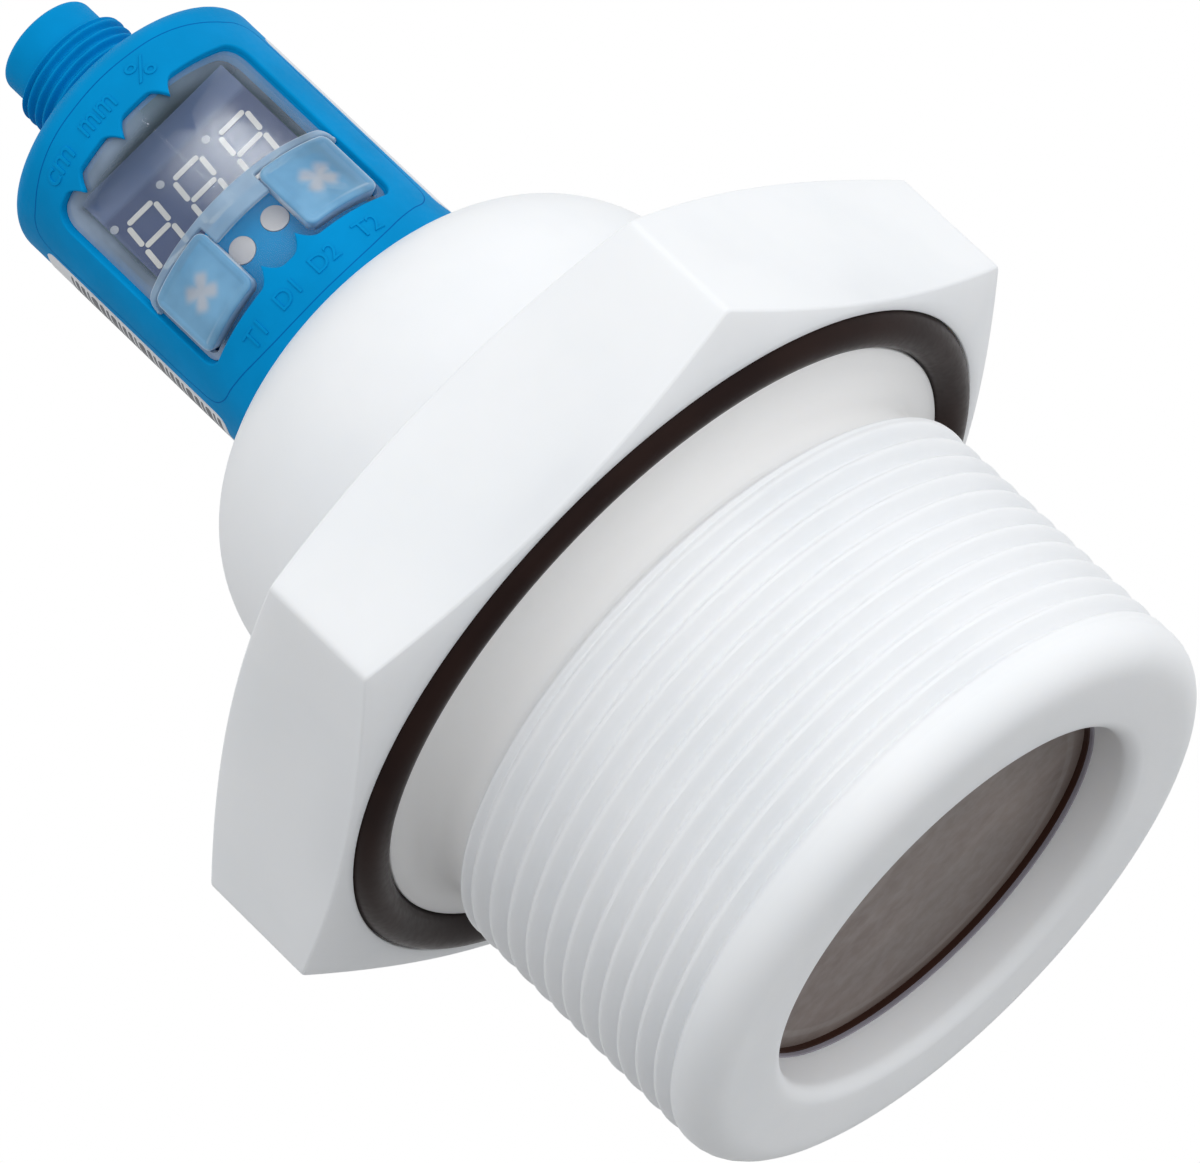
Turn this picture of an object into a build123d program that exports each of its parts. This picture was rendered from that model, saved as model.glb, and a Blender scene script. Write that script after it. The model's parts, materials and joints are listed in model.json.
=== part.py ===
from build123d import *
import os
from math import cos, radians, sin, sqrt, tan

# Ultrasonic level sensor with a G 2 process thread and a display head.
# Millimetres. The axis is Z and points from the membrane to the connector.
# Z = 0 is the rim of the threaded end, and the display looks towards -Y.

# General clearances
SLIP = 0.05
GLUE_GAP = 0.05

# Process thread: G 2, parallel pipe thread, 11 threads per inch
THREAD_CREST_R = 29.807
THREAD_PITCH = 2.309
THREAD_RIDGES = 11
THREAD_DEPTH = THREAD_PITCH * 0.640327
THREAD_FLAT = THREAD_PITCH / 6
THREAD_START_Z = 3.7
THREAD_END_Z = THREAD_START_Z + (THREAD_RIDGES - 1) * THREAD_PITCH + THREAD_FLAT

# Front lip and the recess with the membrane
LIP_ROUNDING = 3.3
RECESS_R = 20.95
RECESS_DEPTH = 5.6
RECESS_ROUNDING = 0.8
POCKET_DEPTH = 19.0

# Neck, sealing face and seal groove
NECK_UNDERCUT = 2.0
NECK_R = THREAD_CREST_R - NECK_UNDERCUT
NECK_LENGTH = 9.825
NECK_ROUNDING = 2.5
FACE_Z = THREAD_END_Z + NECK_LENGTH
SEAL_SECTION = 4.0
SEAL_PROUD = 1.26
SEAL_LAND = 2.2
SEAL_MEAN_R = THREAD_CREST_R + SEAL_LAND + SEAL_SECTION / 2
GROOVE_BOTTOM_Z = FACE_Z + SEAL_SECTION - SEAL_PROUD + GLUE_GAP

# Hexagon
HEX_ACROSS_FLATS = 74.6
HEX_THICKNESS = 15.7
HEX_EDGE_ROUNDING = 0.8
HEX_CHAMFER_MARGIN = 0.4
HEX_CHAMFER_R = HEX_ACROSS_FLATS / 2 - HEX_CHAMFER_MARGIN
HEX_CHAMFER_ANGLE = 16.8
HEX_TURN = -1.6
HEX_TOP_Z = FACE_Z + HEX_THICKNESS

# Dome
DOME_R = 25.57
DOME_WALL_HEIGHT = 7.8
DOME_ROUNDING = 15.6
DOME_STRAIGHT_Z = HEX_TOP_Z + DOME_WALL_HEIGHT
DOME_TOP_Z = DOME_STRAIGHT_Z + DOME_ROUNDING

# Head shell: barrel and crowned shoulder
BARREL_R = 13.8
BARREL_WALL = 1.9
BARREL_INNER_R = BARREL_R - BARREL_WALL
CROWN_RISE = 3.75
CROWN_FLAT_R = 4.1
FRONT_Y = -2 * BARREL_R
HEAD_SEAL_SECTION = 1.5
HEAD_SEAL_SQUEEZE = 0.05

# Inside of the housing: cavity, throat and the bore for the head
CAVITY_WALL = 6.57
CAVITY_R = DOME_R - CAVITY_WALL
CAVITY_HEADROOM = 4.3
CAVITY_TOP_Z = HEX_TOP_Z + CAVITY_HEADROOM
THROAT_STEP = 1.0
THROAT_R = BARREL_R - THROAT_STEP
CAVITY_ROUNDING = (CAVITY_R - THROAT_R) * 0.8
SPIGOT_RAISE = 1.5
SPIGOT_Z = DOME_STRAIGHT_Z + SPIGOT_RAISE
HEAD_SEAL_RAISE = 4.0
HEAD_SEAL_Z = SPIGOT_Z + HEAD_SEAL_RAISE

# Window in the barrel
WINDOW_HALF_ANGLE = 54.0
WINDOW_HALF_X = BARREL_R * sin(radians(WINDOW_HALF_ANGLE))
WINDOW_HEIGHT = 21.05
WINDOW_BAND_BELOW = 5.0
WINDOW_BAND_ABOVE = 4.15
WINDOW_LOW_Z = DOME_TOP_Z + WINDOW_BAND_BELOW
WINDOW_HIGH_Z = WINDOW_LOW_Z + WINDOW_HEIGHT
WINDOW_CORNER = 1.6
SHOULDER_Z = WINDOW_HIGH_Z + WINDOW_BAND_ABOVE
CEILING_RAISE = 0.3
CEILING_Z = SHOULDER_Z + CEILING_RAISE

# Connector: M12 x 1, male, four contacts
NOSE_THREAD_R = 5.95
NOSE_THREAD_HEIGHT = 6.45
NOSE_THREAD_TOP_Z = SHOULDER_Z + CROWN_RISE + NOSE_THREAD_HEIGHT
NOSE_COLLAR_R = 5.1
NOSE_COLLAR_HEIGHT = 2.7
NOSE_TOP_Z = NOSE_THREAD_TOP_Z + NOSE_COLLAR_HEIGHT
NOSE_EDGE = 0.5
NOSE_BORE_R = 4.25
CONTACT_CIRCLE_R = 3.5
CONTACT_COUNT = 4
CONTACT_R = 0.5
CONTACT_SUNK = 1.6
CONTACT_TIP_Z = NOSE_TOP_Z - CONTACT_SUNK
CAVITY_DEPTH = 8.0
CARRIER_FACE_Z = NOSE_TOP_Z - CAVITY_DEPTH
CARRIER_FLANGE_R = 6.5
CARRIER_FLANGE = 1.4
CODING_RIB_DEPTH = 0.55
CODING_RIB_WIDTH = 1.0
CODING_RIB_SUNK = 1.2
CODING_RIB_TOP_Z = NOSE_TOP_Z - CODING_RIB_SUNK

# Window cover
COVER_SUNK = 0.7
COVER_R = BARREL_R - COVER_SUNK
COVER_WALL = 0.65
COVER_SIDE = 0.7
COVER_LIP = 0.9
COVER_LIP_WALL = 0.6

# Keys
CHANNEL_HALF_X = 3.46
KEY_SIDE_LAND = 1.16
KEY_OUTER_X = WINDOW_HALF_X - KEY_SIDE_LAND
KEY_WIDTH = KEY_OUTER_X - CHANNEL_HALF_X
KEY_LOW_LAND = 0.9
KEY_LOW_Z = WINDOW_LOW_Z + KEY_LOW_LAND
KEY_HEIGHT = 7.35
KEY_HIGH_Z = KEY_LOW_Z + KEY_HEIGHT
KEY_CORNER = 0.8
KEY_RIM_ROUNDING = 0.25
KEY_PROUD = 0.2
KEY_TOP_R = BARREL_R + KEY_PROUD
KEY_TRAVEL = 0.4
KEY_GAP = 0.15
KEY_FLANGE = 0.4
KEY_FLANGE_WALL = 0.7
KEY_BACK_R = COVER_R - COVER_WALL - KEY_GAP - KEY_FLANGE_WALL
CROSS_X = CHANNEL_HALF_X + KEY_WIDTH * 0.572
CROSS_RAISE = 4.2
CROSS_Z = KEY_LOW_Z + CROSS_RAISE
CROSS_REACH = KEY_WIDTH * 0.298
CROSS_ARM = KEY_WIDTH * 0.153

# Ledge of the cover above the keys
LEDGE_SUNK = 0.2
LEDGE_R = BARREL_R - LEDGE_SUNK
LEDGE_BAND = 0.95
LEDGE_HIGH_Z = KEY_HIGH_Z + LEDGE_BAND
LEDGE_HEIGHT = 2.9
LEDGE_LOW_Z = LEDGE_HIGH_Z - LEDGE_HEIGHT

# Display and its board
DISPLAY_SUNK = 5.1
DISPLAY_Y = DISPLAY_SUNK - BARREL_R
DISPLAY_EDGE_GAP = 0.2
DISPLAY_HALF_X = sqrt((COVER_R - COVER_WALL) ** 2 - DISPLAY_Y**2) - DISPLAY_EDGE_GAP
DISPLAY_LOW_Z = LEDGE_HIGH_Z - DISPLAY_EDGE_GAP
DISPLAY_TOP_MARGIN = 0.85
DISPLAY_HIGH_Z = WINDOW_HIGH_Z - DISPLAY_TOP_MARGIN
MAIN_BOARD_THICKNESS = 1.6
BOARD_THICKNESS = 1.0
HEADER_DEPTH = BARREL_INNER_R / 7
DISPLAY_BOARD_Y = -MAIN_BOARD_THICKNESS / 2 - HEADER_DEPTH - BOARD_THICKNESS
DISPLAY_BOARD_LAND = 2.5
DISPLAY_BOARD_HALF_X = BARREL_INNER_R - DISPLAY_BOARD_LAND
DISPLAY_BOARD_BELOW = 1.6
DISPLAY_BOARD_LOW_Z = WINDOW_LOW_Z - DISPLAY_BOARD_BELOW
DISPLAY_BOARD_HIGH_Z = WINDOW_HIGH_Z + SLIP
DIGIT_COUNT = 3
DIGIT_PITCH = DISPLAY_HALF_X * 0.65
DIGIT_SIDE_MARGIN = 1.55
DIGIT_FIRST_X = DIGIT_SIDE_MARGIN - DISPLAY_HALF_X
DIGIT_WIDTH = DIGIT_PITCH * 0.52
DIGIT_HEIGHT = 6.0
DIGIT_TOP_MARGIN = 4.45
DIGIT_TOP_Z = DISPLAY_HIGH_Z - DIGIT_TOP_MARGIN
DIGIT_SLANT = 6.0
SEGMENT_WIDTH = 0.55
SEGMENT_GAP = 0.2
SEGMENT_THICKNESS = 0.1
DOT_R = 0.3

# Blue carrier behind the keys
KEY_CARRIER_GAP = 0.3
KEY_CARRIER_R = KEY_BACK_R - KEY_TRAVEL - KEY_CARRIER_GAP
KEY_CARRIER_WALL = 1.2
KEY_CARRIER_HALF_X = KEY_OUTER_X - SLIP
KEY_CARRIER_LOW_Z = KEY_LOW_Z
KEY_CARRIER_HEIGHT = 6.6
KEY_CARRIER_HIGH_Z = KEY_LOW_Z + KEY_CARRIER_HEIGHT
CARRIER_LEG_X = 4.6
CARRIER_LEG_R = 0.8
CARRIER_LEG_Z = KEY_CARRIER_LOW_Z + CARRIER_LEG_R + 2 * SLIP

# Light guides and switches
GUIDE_X = 2.0
GUIDE_Z = CROSS_Z
GUIDE_R = 1.25
LED_SIZE = 1.6
LED_HEIGHT = 0.7
SWITCH_SIZE = 3.5
SWITCH_HEIGHT = BARREL_INNER_R * 0.11
SWITCH_BUTTON_R = 0.9
SWITCH_BUTTON_PROUD = 0.5
SWITCH_BORE_DEPTH = 1.0
SWITCH_FRONT_Y = DISPLAY_BOARD_Y - SWITCH_HEIGHT
POST_END_Y = SWITCH_FRONT_Y - SWITCH_BUTTON_PROUD

# Cusps of the window edge: one above each digit, one below each light guide
CUSP_HALF = 1.4
CUSP_DEPTH = 1.55
CUSP_THICKNESS = 0.6
CUSP_SHIFT = -0.82
CUSP_TOP_X = [DIGIT_FIRST_X + CUSP_SHIFT + place * DIGIT_PITCH for place in range(DIGIT_COUNT)]
CUSP_LOW_X = (-GUIDE_X, GUIDE_X)

# Main board and its grid, in which its components are laid out
MAIN_BOARD_GAP = 0.9
MAIN_BOARD_HALF_X = BARREL_INNER_R - MAIN_BOARD_GAP
MAIN_BOARD_RAISE = 3.0
MAIN_BOARD_LOW_Z = POCKET_DEPTH + MAIN_BOARD_RAISE
BOARD_COLUMN = MAIN_BOARD_HALF_X / 11
CONNECTOR_BOARD_GAP = 1.9
CONNECTOR_BOARD_R = BARREL_INNER_R - CONNECTOR_BOARD_GAP
CONNECTOR_BOARD_THICKNESS = 1.6
CONNECTOR_BOARD_TOP_Z = CEILING_Z - CARRIER_FLANGE
CONNECTOR_BOARD_LOW_Z = CONNECTOR_BOARD_TOP_Z - CONNECTOR_BOARD_THICKNESS
BOARD_ROW = (CONNECTOR_BOARD_LOW_Z - MAIN_BOARD_LOW_Z) / 82
HEADER_HALF_X = 6.0
HEADER_HEIGHT = 2.5
HEADER_RAISE = 1.9
HEADER_Z = WINDOW_LOW_Z + HEADER_RAISE
POTTING_HEIGHT = 31.0
POTTING_TOP_Z = POCKET_DEPTH + POTTING_HEIGHT

# Sound transducer
MEMBRANE_EDGE = 0.65
MEMBRANE_R = RECESS_R - MEMBRANE_EDGE
MEMBRANE_THICKNESS = 0.4
MATCHING_EDGE = 1.35
MATCHING_R = RECESS_R - MATCHING_EDGE
MATCHING_THICKNESS = 4.0
CUP_WALL = 1.2
PIEZO_EDGE = 4.95
PIEZO_R = RECESS_R - PIEZO_EDGE
PIEZO_THICKNESS = 3.2
LEAD_X = 6.0
LEAD_R = 0.5
LEAD_CLEARANCE = 0.2
SENSOR_R = 1.1
SENSOR_LENGTH = 2.2
MATCHING_LOW_Z = RECESS_DEPTH + MEMBRANE_THICKNESS
CUP_LOW_Z = MATCHING_LOW_Z + MATCHING_THICKNESS
PIEZO_TOP_Z = CUP_LOW_Z + PIEZO_THICKNESS
CUP_FLOOR_Z = POCKET_DEPTH - CUP_WALL

# Rating label round the back of the barrel
LABEL_BELOW = 2.1
LABEL_ABOVE = 0.85
LABEL_LOW_Z = WINDOW_LOW_Z - LABEL_BELOW
LABEL_HIGH_Z = WINDOW_HIGH_Z + LABEL_ABOVE
LABEL_HALF_ANGLE = 104.0
LABEL_THICKNESS = 0.3
LABEL_PROUD = 0.05
LABEL_CORNER = 1.2


def turned(*corners):
    """Solid of revolution from corners given as (radius, height, rounding)."""
    outline = Polyline(*[(r, z) for r, z, _ in corners], close=True)
    face = make_face(outline)
    for r, z, rounding in corners:
        if rounding:
            corner = face.vertices().sort_by_distance((r, z))[0]
            face = fillet(corner, rounding)
    return revolve(Plane.XZ * face, Axis.Z)


def drum(radius, low, high):
    """Plain cylinder on the axis between two heights."""
    return Pos(0, 0, low) * Cylinder(radius, high - low, align=(Align.CENTER, Align.CENTER, Align.MIN))


def tube(outer, inner, low, high):
    """Plain tube on the axis between two heights."""
    return drum(outer, low, high) - drum(inner, low - 1, high + 1)


def slab(x_low, x_high, y_low, y_high, z_low, z_high):
    """Block between two corners."""
    middle = Pos((x_low + x_high) / 2, (y_low + y_high) / 2, (z_low + z_high) / 2)
    return middle * Box(x_high - x_low, y_high - y_low, z_high - z_low)


def forward(face, y_back=0.0, y_front=FRONT_Y):
    """Prism of a face drawn in X and Z, reaching from y_back towards the viewer to y_front."""
    return extrude(Plane((0, y_back, 0), x_dir=(1, 0, 0), z_dir=(0, -1, 0)) * face, y_back - y_front)


def rounded_window(x_low, x_high, z_low, z_high, corner):
    """Rounded rectangle drawn in X and Z."""
    middle = Pos((x_low + x_high) / 2, (z_low + z_high) / 2)
    return middle * RectangleRounded(x_high - x_low, z_high - z_low, corner)


def post(x, z, radius, y_back, y_front):
    """Round post square to the display board."""
    return forward(Pos(x, z) * Circle(radius), y_back, y_front)


def cross_face(grow=0.0):
    """Four-lobed cross whose arms point along the diagonals."""
    arm = CROSS_ARM + 2 * grow
    reach = 2 * (CROSS_REACH + grow)
    bar = SlotOverall(reach, arm)
    return Rot(0, 0, 45) * bar + Rot(0, 0, -45) * bar


def thread_outline():
    """Corners of the thread's ridges, from the rim end to the neck end."""
    corners = []
    for ridge in range(THREAD_RIDGES):
        start = THREAD_START_Z + ridge * THREAD_PITCH
        corners.append((THREAD_CREST_R, start, 0))
        corners.append((THREAD_CREST_R, start + THREAD_FLAT, 0))
        if ridge < THREAD_RIDGES - 1:
            root = start + (THREAD_PITCH + THREAD_FLAT) / 2
            corners.append((THREAD_CREST_R - THREAD_DEPTH, root, 0))
    return corners


def process_housing():
    """One fluoroplastic piece from the lip to the dome, bored through for the transducer and boards."""
    runout = THREAD_END_Z + THREAD_CREST_R - NECK_R
    body = turned(
        (0, 0, 0),
        (THREAD_CREST_R, 0, LIP_ROUNDING),
        *thread_outline(),
        (NECK_R, runout, 0),
        (NECK_R, FACE_Z, NECK_ROUNDING),
        (SEAL_MEAN_R, FACE_Z, 0),
        (SEAL_MEAN_R, HEX_TOP_Z, 0),
        (DOME_R, HEX_TOP_Z, 0),
        (DOME_R, DOME_TOP_Z, DOME_ROUNDING),
        (0, DOME_TOP_Z, 0),
    )
    body += hexagon()
    body -= tube(
        SEAL_MEAN_R + SEAL_SECTION / 2 + GLUE_GAP,
        SEAL_MEAN_R - SEAL_SECTION / 2 - GLUE_GAP,
        FACE_Z - SEAL_SECTION,
        GROOVE_BOTTOM_Z,
    )
    body -= turned(
        (0, -1, 0),
        (RECESS_R + RECESS_ROUNDING + 1, -1, 0),
        (RECESS_R + RECESS_ROUNDING + 1, 0, 0),
        (RECESS_R, 0, RECESS_ROUNDING),
        (RECESS_R, POCKET_DEPTH, 0),
        (CAVITY_R, POCKET_DEPTH, 0),
        (CAVITY_R, CAVITY_TOP_Z, CAVITY_ROUNDING),
        (THROAT_R, CAVITY_TOP_Z, 0),
        (THROAT_R, SPIGOT_Z, 0),
        (BARREL_R + SLIP, SPIGOT_Z, 0),
        (BARREL_R + SLIP, DOME_TOP_Z + 1, 0),
        (0, DOME_TOP_Z + 1, 0),
    )
    return body


def hexagon():
    """Hexagon with rounded corners, chamfered on both faces by flat cones."""
    face = RegularPolygon(HEX_ACROSS_FLATS / 2, 6, major_radius=False)
    face = fillet(face.vertices(), HEX_EDGE_ROUNDING)
    prism = Pos(0, 0, FACE_Z) * extrude(face, HEX_THICKNESS)
    reach = HEX_ACROSS_FLATS
    drop = (reach - HEX_CHAMFER_R) * tan(radians(HEX_CHAMFER_ANGLE))
    cones = turned(
        (0, FACE_Z, 0),
        (HEX_CHAMFER_R, FACE_Z, 0),
        (reach, FACE_Z + drop, 0),
        (reach, HEX_TOP_Z - drop, 0),
        (HEX_CHAMFER_R, HEX_TOP_Z, 0),
        (0, HEX_TOP_Z, 0),
    )
    return Rot(0, 0, HEX_TURN) * (prism & cones)


def flange_o_ring():
    """Seal ring that stands proud of the sealing face."""
    z = FACE_Z + SEAL_SECTION / 2 - SEAL_PROUD
    return Pos(0, 0, z) * Torus(SEAL_MEAN_R, SEAL_SECTION / 2)


def transducer_membrane():
    """Film that closes the transducer at the bottom of the recess."""
    return drum(MEMBRANE_R, RECESS_DEPTH, MATCHING_LOW_Z)


def membrane_seal():
    """Dark ring between the transducer's face and the housing, with its lip beside the membrane."""
    outer = RECESS_R - GLUE_GAP
    return turned(
        (MEMBRANE_R + GLUE_GAP, RECESS_DEPTH - 0.15, 0),
        (outer, RECESS_DEPTH - 0.15, 0),
        (outer, CUP_LOW_Z - GLUE_GAP, 0),
        (MATCHING_R + GLUE_GAP, CUP_LOW_Z - GLUE_GAP, 0),
        (MATCHING_R + GLUE_GAP, MATCHING_LOW_Z + GLUE_GAP, 0),
        (MEMBRANE_R + GLUE_GAP, MATCHING_LOW_Z + GLUE_GAP, 0),
    )


def matching_layer():
    """Acoustic matching layer between the membrane and the piezo disc."""
    return drum(MATCHING_R, MATCHING_LOW_Z, CUP_LOW_Z)


def piezo_disc():
    """Ceramic disc that makes and hears the sound."""
    return drum(PIEZO_R, CUP_LOW_Z, PIEZO_TOP_Z)


def lead_holes():
    """Round passages for the piezo leads."""
    hole = drum(LEAD_R + LEAD_CLEARANCE, PIEZO_TOP_Z - 1, POCKET_DEPTH + 1)
    return [Pos(x, 0, 0) * hole for x in (-LEAD_X, LEAD_X)]


def transducer_cup():
    """Cup behind the transducer, with two passages in its floor."""
    outer = RECESS_R - GLUE_GAP
    cup = turned(
        (outer - CUP_WALL, CUP_LOW_Z, 0),
        (outer, CUP_LOW_Z, 0),
        (outer, POCKET_DEPTH, 0),
        (0, POCKET_DEPTH, 0),
        (0, CUP_FLOOR_Z, 0),
        (outer - CUP_WALL, CUP_FLOOR_Z, 0),
    )
    for hole in lead_holes():
        cup -= hole
    return cup


def backing_foam():
    """Foam disc that damps the back of the piezo disc."""
    foam = drum(RECESS_R - GLUE_GAP - CUP_WALL, PIEZO_TOP_Z, CUP_FLOOR_Z)
    for hole in lead_holes():
        foam -= hole
    return foam


def piezo_lead(side):
    """Straight lead from the piezo disc to the lower edge of the main board."""
    return Pos(side * LEAD_X, 0, 0) * drum(LEAD_R, PIEZO_TOP_Z, MAIN_BOARD_LOW_Z)


def temperature_sensor():
    """Small sensor beside the piezo disc, which measures the air temperature through the face."""
    reach = (PIEZO_R + RECESS_R - GLUE_GAP - CUP_WALL) / 2
    return Pos(0, reach, 0) * drum(SENSOR_R, CUP_LOW_Z, CUP_LOW_Z + SENSOR_LENGTH)


def main_board():
    """Long board from the transducer up to the connector board."""
    half = MAIN_BOARD_THICKNESS / 2
    return slab(-MAIN_BOARD_HALF_X, MAIN_BOARD_HALF_X, -half, half, MAIN_BOARD_LOW_Z, CONNECTOR_BOARD_LOW_Z)


def board_components():
    """Parts soldered to both faces of the main board, in its columns and rows."""
    half = MAIN_BOARD_THICKNESS / 2
    parts = []
    # chips on the display side, as (column, row, columns wide, rows high, boards thick)
    front = ((0, 44, 9, 9, 0.75), (-6, 32, 5, 6, 0.95), (5, 31, 7, 5, 0.95), (-5, 19, 6, 8, 1.5))
    # pulse transformer, driver and regulator on the rear side
    rear = ((0, 10, 12, 11, 5.0), (-5, 24, 6, 5, 1.25), (5, 48, 8, 6, 1.4))
    for side, chips in ((-1, front), (1, rear)):
        for column, row, wide, high, thick in chips:
            x = column * BOARD_COLUMN
            z = MAIN_BOARD_LOW_Z + row * BOARD_ROW
            thickness = thick * MAIN_BOARD_THICKNESS
            y = side * (half + thickness / 2)
            parts.append(Pos(x, y, z) * Box(wide * BOARD_COLUMN, thickness, high * BOARD_ROW))
    # storage capacitors standing on the rear side
    can_r = 2 * MAIN_BOARD_THICKNESS
    for row in (36, 26):
        place = Pos(6 * BOARD_COLUMN, half + can_r, MAIN_BOARD_LOW_Z + row * BOARD_ROW)
        parts.append(place * Cylinder(can_r, 8 * BOARD_ROW))
    return Compound(children=[part.solid() for part in parts])


def potting_compound(*inside):
    """Casting resin round the lower electronics."""
    block = drum(CAVITY_R - GLUE_GAP, POCKET_DEPTH, POTTING_TOP_Z)
    for piece in inside:
        for solid in piece.solids():
            block -= solid
    return block


def window_face(grow=0.0):
    """Plain outline of the window, without the cusps."""
    return rounded_window(
        -WINDOW_HALF_X - grow,
        WINDOW_HALF_X + grow,
        WINDOW_LOW_Z - grow,
        WINDOW_HIGH_Z + grow,
        WINDOW_CORNER + max(grow, -WINDOW_CORNER / 2),
    )


def cusp(x, z_edge, way):
    """Thorn-shaped point with hollow sides that grows from a window edge."""
    tip = (x, z_edge + way * CUSP_DEPTH)
    left = (x - CUSP_HALF, z_edge)
    right = (x + CUSP_HALF, z_edge)
    sag_x = CUSP_HALF * 0.38
    sag_z = z_edge + way * CUSP_DEPTH * 0.28
    back = z_edge - way * WINDOW_CORNER
    sides = [
        ThreePointArc(left, (x - sag_x, sag_z), tip),
        ThreePointArc(tip, (x + sag_x, sag_z), right),
        Line(right, (right[0], back)),
        Line((right[0], back), (left[0], back)),
        Line((left[0], back), left),
    ]
    return make_face(sides)


def crown():
    """Barrel with its elliptical shoulder."""
    width = BARREL_R - CROWN_FLAT_R
    shoulder = EllipticalCenterArc((CROWN_FLAT_R, SHOULDER_Z), width, CROWN_RISE, arc_size=90)
    top = SHOULDER_Z + CROWN_RISE
    outline = [
        Line((0, SPIGOT_Z), (BARREL_R, SPIGOT_Z)),
        Line((BARREL_R, SPIGOT_Z), (BARREL_R, SHOULDER_Z)),
        shoulder,
        Line((CROWN_FLAT_R, top), (0, top)),
        Line((0, top), (0, SPIGOT_Z)),
    ]
    return revolve(Plane.XZ * make_face(outline), Axis.Z)


def head_shell():
    """Blue moulding: barrel, window, shoulder and connector nose."""
    nose_root = SHOULDER_Z + CROWN_RISE / 2
    shell = crown() + turned(
        (0, nose_root, 0),
        (NOSE_THREAD_R, nose_root, 0),
        (NOSE_THREAD_R, NOSE_THREAD_TOP_Z, NOSE_EDGE / 2),
        (NOSE_COLLAR_R, NOSE_THREAD_TOP_Z, 0),
        (NOSE_COLLAR_R, NOSE_TOP_Z, NOSE_EDGE),
        (0, NOSE_TOP_Z, 0),
    )
    shell -= drum(BARREL_INNER_R, SPIGOT_Z - 1, CEILING_Z)
    shell -= drum(NOSE_BORE_R, CEILING_Z - 1, NOSE_TOP_Z + 1)
    shell -= tube(BARREL_R + 1, head_seal_inner_r(), HEAD_SEAL_Z, HEAD_SEAL_Z + HEAD_SEAL_SECTION + 2 * SLIP)
    shell -= forward(window_face())
    rim = tube(BARREL_R, BARREL_R - CUSP_THICKNESS, WINDOW_LOW_Z, WINDOW_HIGH_Z)
    for x in CUSP_TOP_X:
        shell += rim & forward(cusp(x, WINDOW_HIGH_Z, -1))
    for x in CUSP_LOW_X:
        shell += rim & forward(cusp(x, WINDOW_LOW_Z, 1))
    shell -= label_body(LABEL_PROUD + 1, SLIP)
    return shell + coding_rib()


def coding_rib():
    """Rib in the connector's bore, between two contacts, that lets the plug in one way only."""
    rib_low = CARRIER_FACE_Z + SLIP
    rib = slab(
        NOSE_BORE_R - CODING_RIB_DEPTH,
        (NOSE_BORE_R + NOSE_COLLAR_R) / 2,
        -CODING_RIB_WIDTH / 2,
        CODING_RIB_WIDTH / 2,
        rib_low,
        CODING_RIB_TOP_Z,
    )
    return Rot(0, 0, 180 / CONTACT_COUNT) * rib


def head_seal_inner_r():
    """Bottom radius of the groove for the ring on the spigot."""
    return BARREL_R + SLIP - HEAD_SEAL_SECTION - HEAD_SEAL_SQUEEZE


def head_seal():
    """Ring that seals the head in the dome's bore."""
    mean = BARREL_R + SLIP - HEAD_SEAL_SECTION / 2 - SLIP / 2
    z = HEAD_SEAL_Z + HEAD_SEAL_SECTION / 2 + SLIP
    return Pos(0, 0, z) * Torus(mean, HEAD_SEAL_SECTION / 2)


def label_body(proud, grow):
    """Band round the back of the barrel with rounded corners, grown by a small amount."""
    inner = BARREL_R + LABEL_PROUD - LABEL_THICKNESS - grow
    band = tube(BARREL_R + proud, inner, LABEL_LOW_Z - grow, LABEL_HIGH_Z + grow)
    reach = 3 * BARREL_R
    edge = radians(LABEL_HALF_ANGLE) + grow / BARREL_R
    wedge = make_face(
        Polyline(
            (0, 0),
            (reach * sin(edge), reach * cos(edge)),
            (reach, -reach),
            (-reach, -reach),
            (-reach * sin(edge), reach * cos(edge)),
            close=True,
        )
    )
    band -= Pos(0, 0, LABEL_LOW_Z - 1) * extrude(wedge, LABEL_HIGH_Z - LABEL_LOW_Z + 2)
    corners = band.edges().filter_by(GeomType.LINE).filter_by(Plane.XY)
    return fillet(corners, LABEL_CORNER + grow)


def rating_label():
    """Film round the back of the barrel, flush in its shallow pocket."""
    return label_body(LABEL_PROUD, 0)


def display_cover():
    """Clear moulding that fills the window, with the ledge above the keys."""
    edge = -SLIP
    inner_edge = -COVER_SIDE
    skin = tube(COVER_R, COVER_R - COVER_WALL, WINDOW_LOW_Z - 5, WINDOW_HIGH_Z + 5)
    cover = skin & forward(window_face(edge))
    lip_r = BARREL_INNER_R - SLIP
    rim_space = forward(window_face(edge)) - forward(window_face(inner_edge))
    walls = tube(COVER_R, lip_r - COVER_LIP_WALL, WINDOW_LOW_Z - 5, WINDOW_HIGH_Z + 5)
    cover += walls & rim_space
    lip_space = forward(window_face(COVER_LIP)) - forward(window_face(inner_edge))
    lip = tube(lip_r, lip_r - COVER_LIP_WALL, WINDOW_LOW_Z - 5, WINDOW_HIGH_Z + 5)
    cover += lip & lip_space
    ledge_face = rounded_window(
        -KEY_OUTER_X - 0.5, KEY_OUTER_X + 0.5, LEDGE_LOW_Z, LEDGE_HIGH_Z, KEY_CORNER / 2
    )
    cover += tube(LEDGE_R, COVER_R - COVER_WALL / 2, WINDOW_LOW_Z, WINDOW_HIGH_Z) & forward(ledge_face)
    flange_space = drum(COVER_R - COVER_WALL, WINDOW_LOW_Z - 5, WINDOW_HIGH_Z)
    for side in (-1, 1):
        cover -= forward(key_face(side, KEY_GAP))
        cover -= flange_space & forward(key_face(side, KEY_FLANGE + KEY_GAP))
    return cover


def key_face(side, grow=0.0):
    """Outline of one key pad."""
    inner = CHANNEL_HALF_X - grow
    outer = KEY_OUTER_X + grow
    low, high = (inner, outer) if side > 0 else (-outer, -inner)
    return rounded_window(low, high, KEY_LOW_Z - grow, KEY_HIGH_Z + grow, KEY_CORNER + grow)


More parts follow.
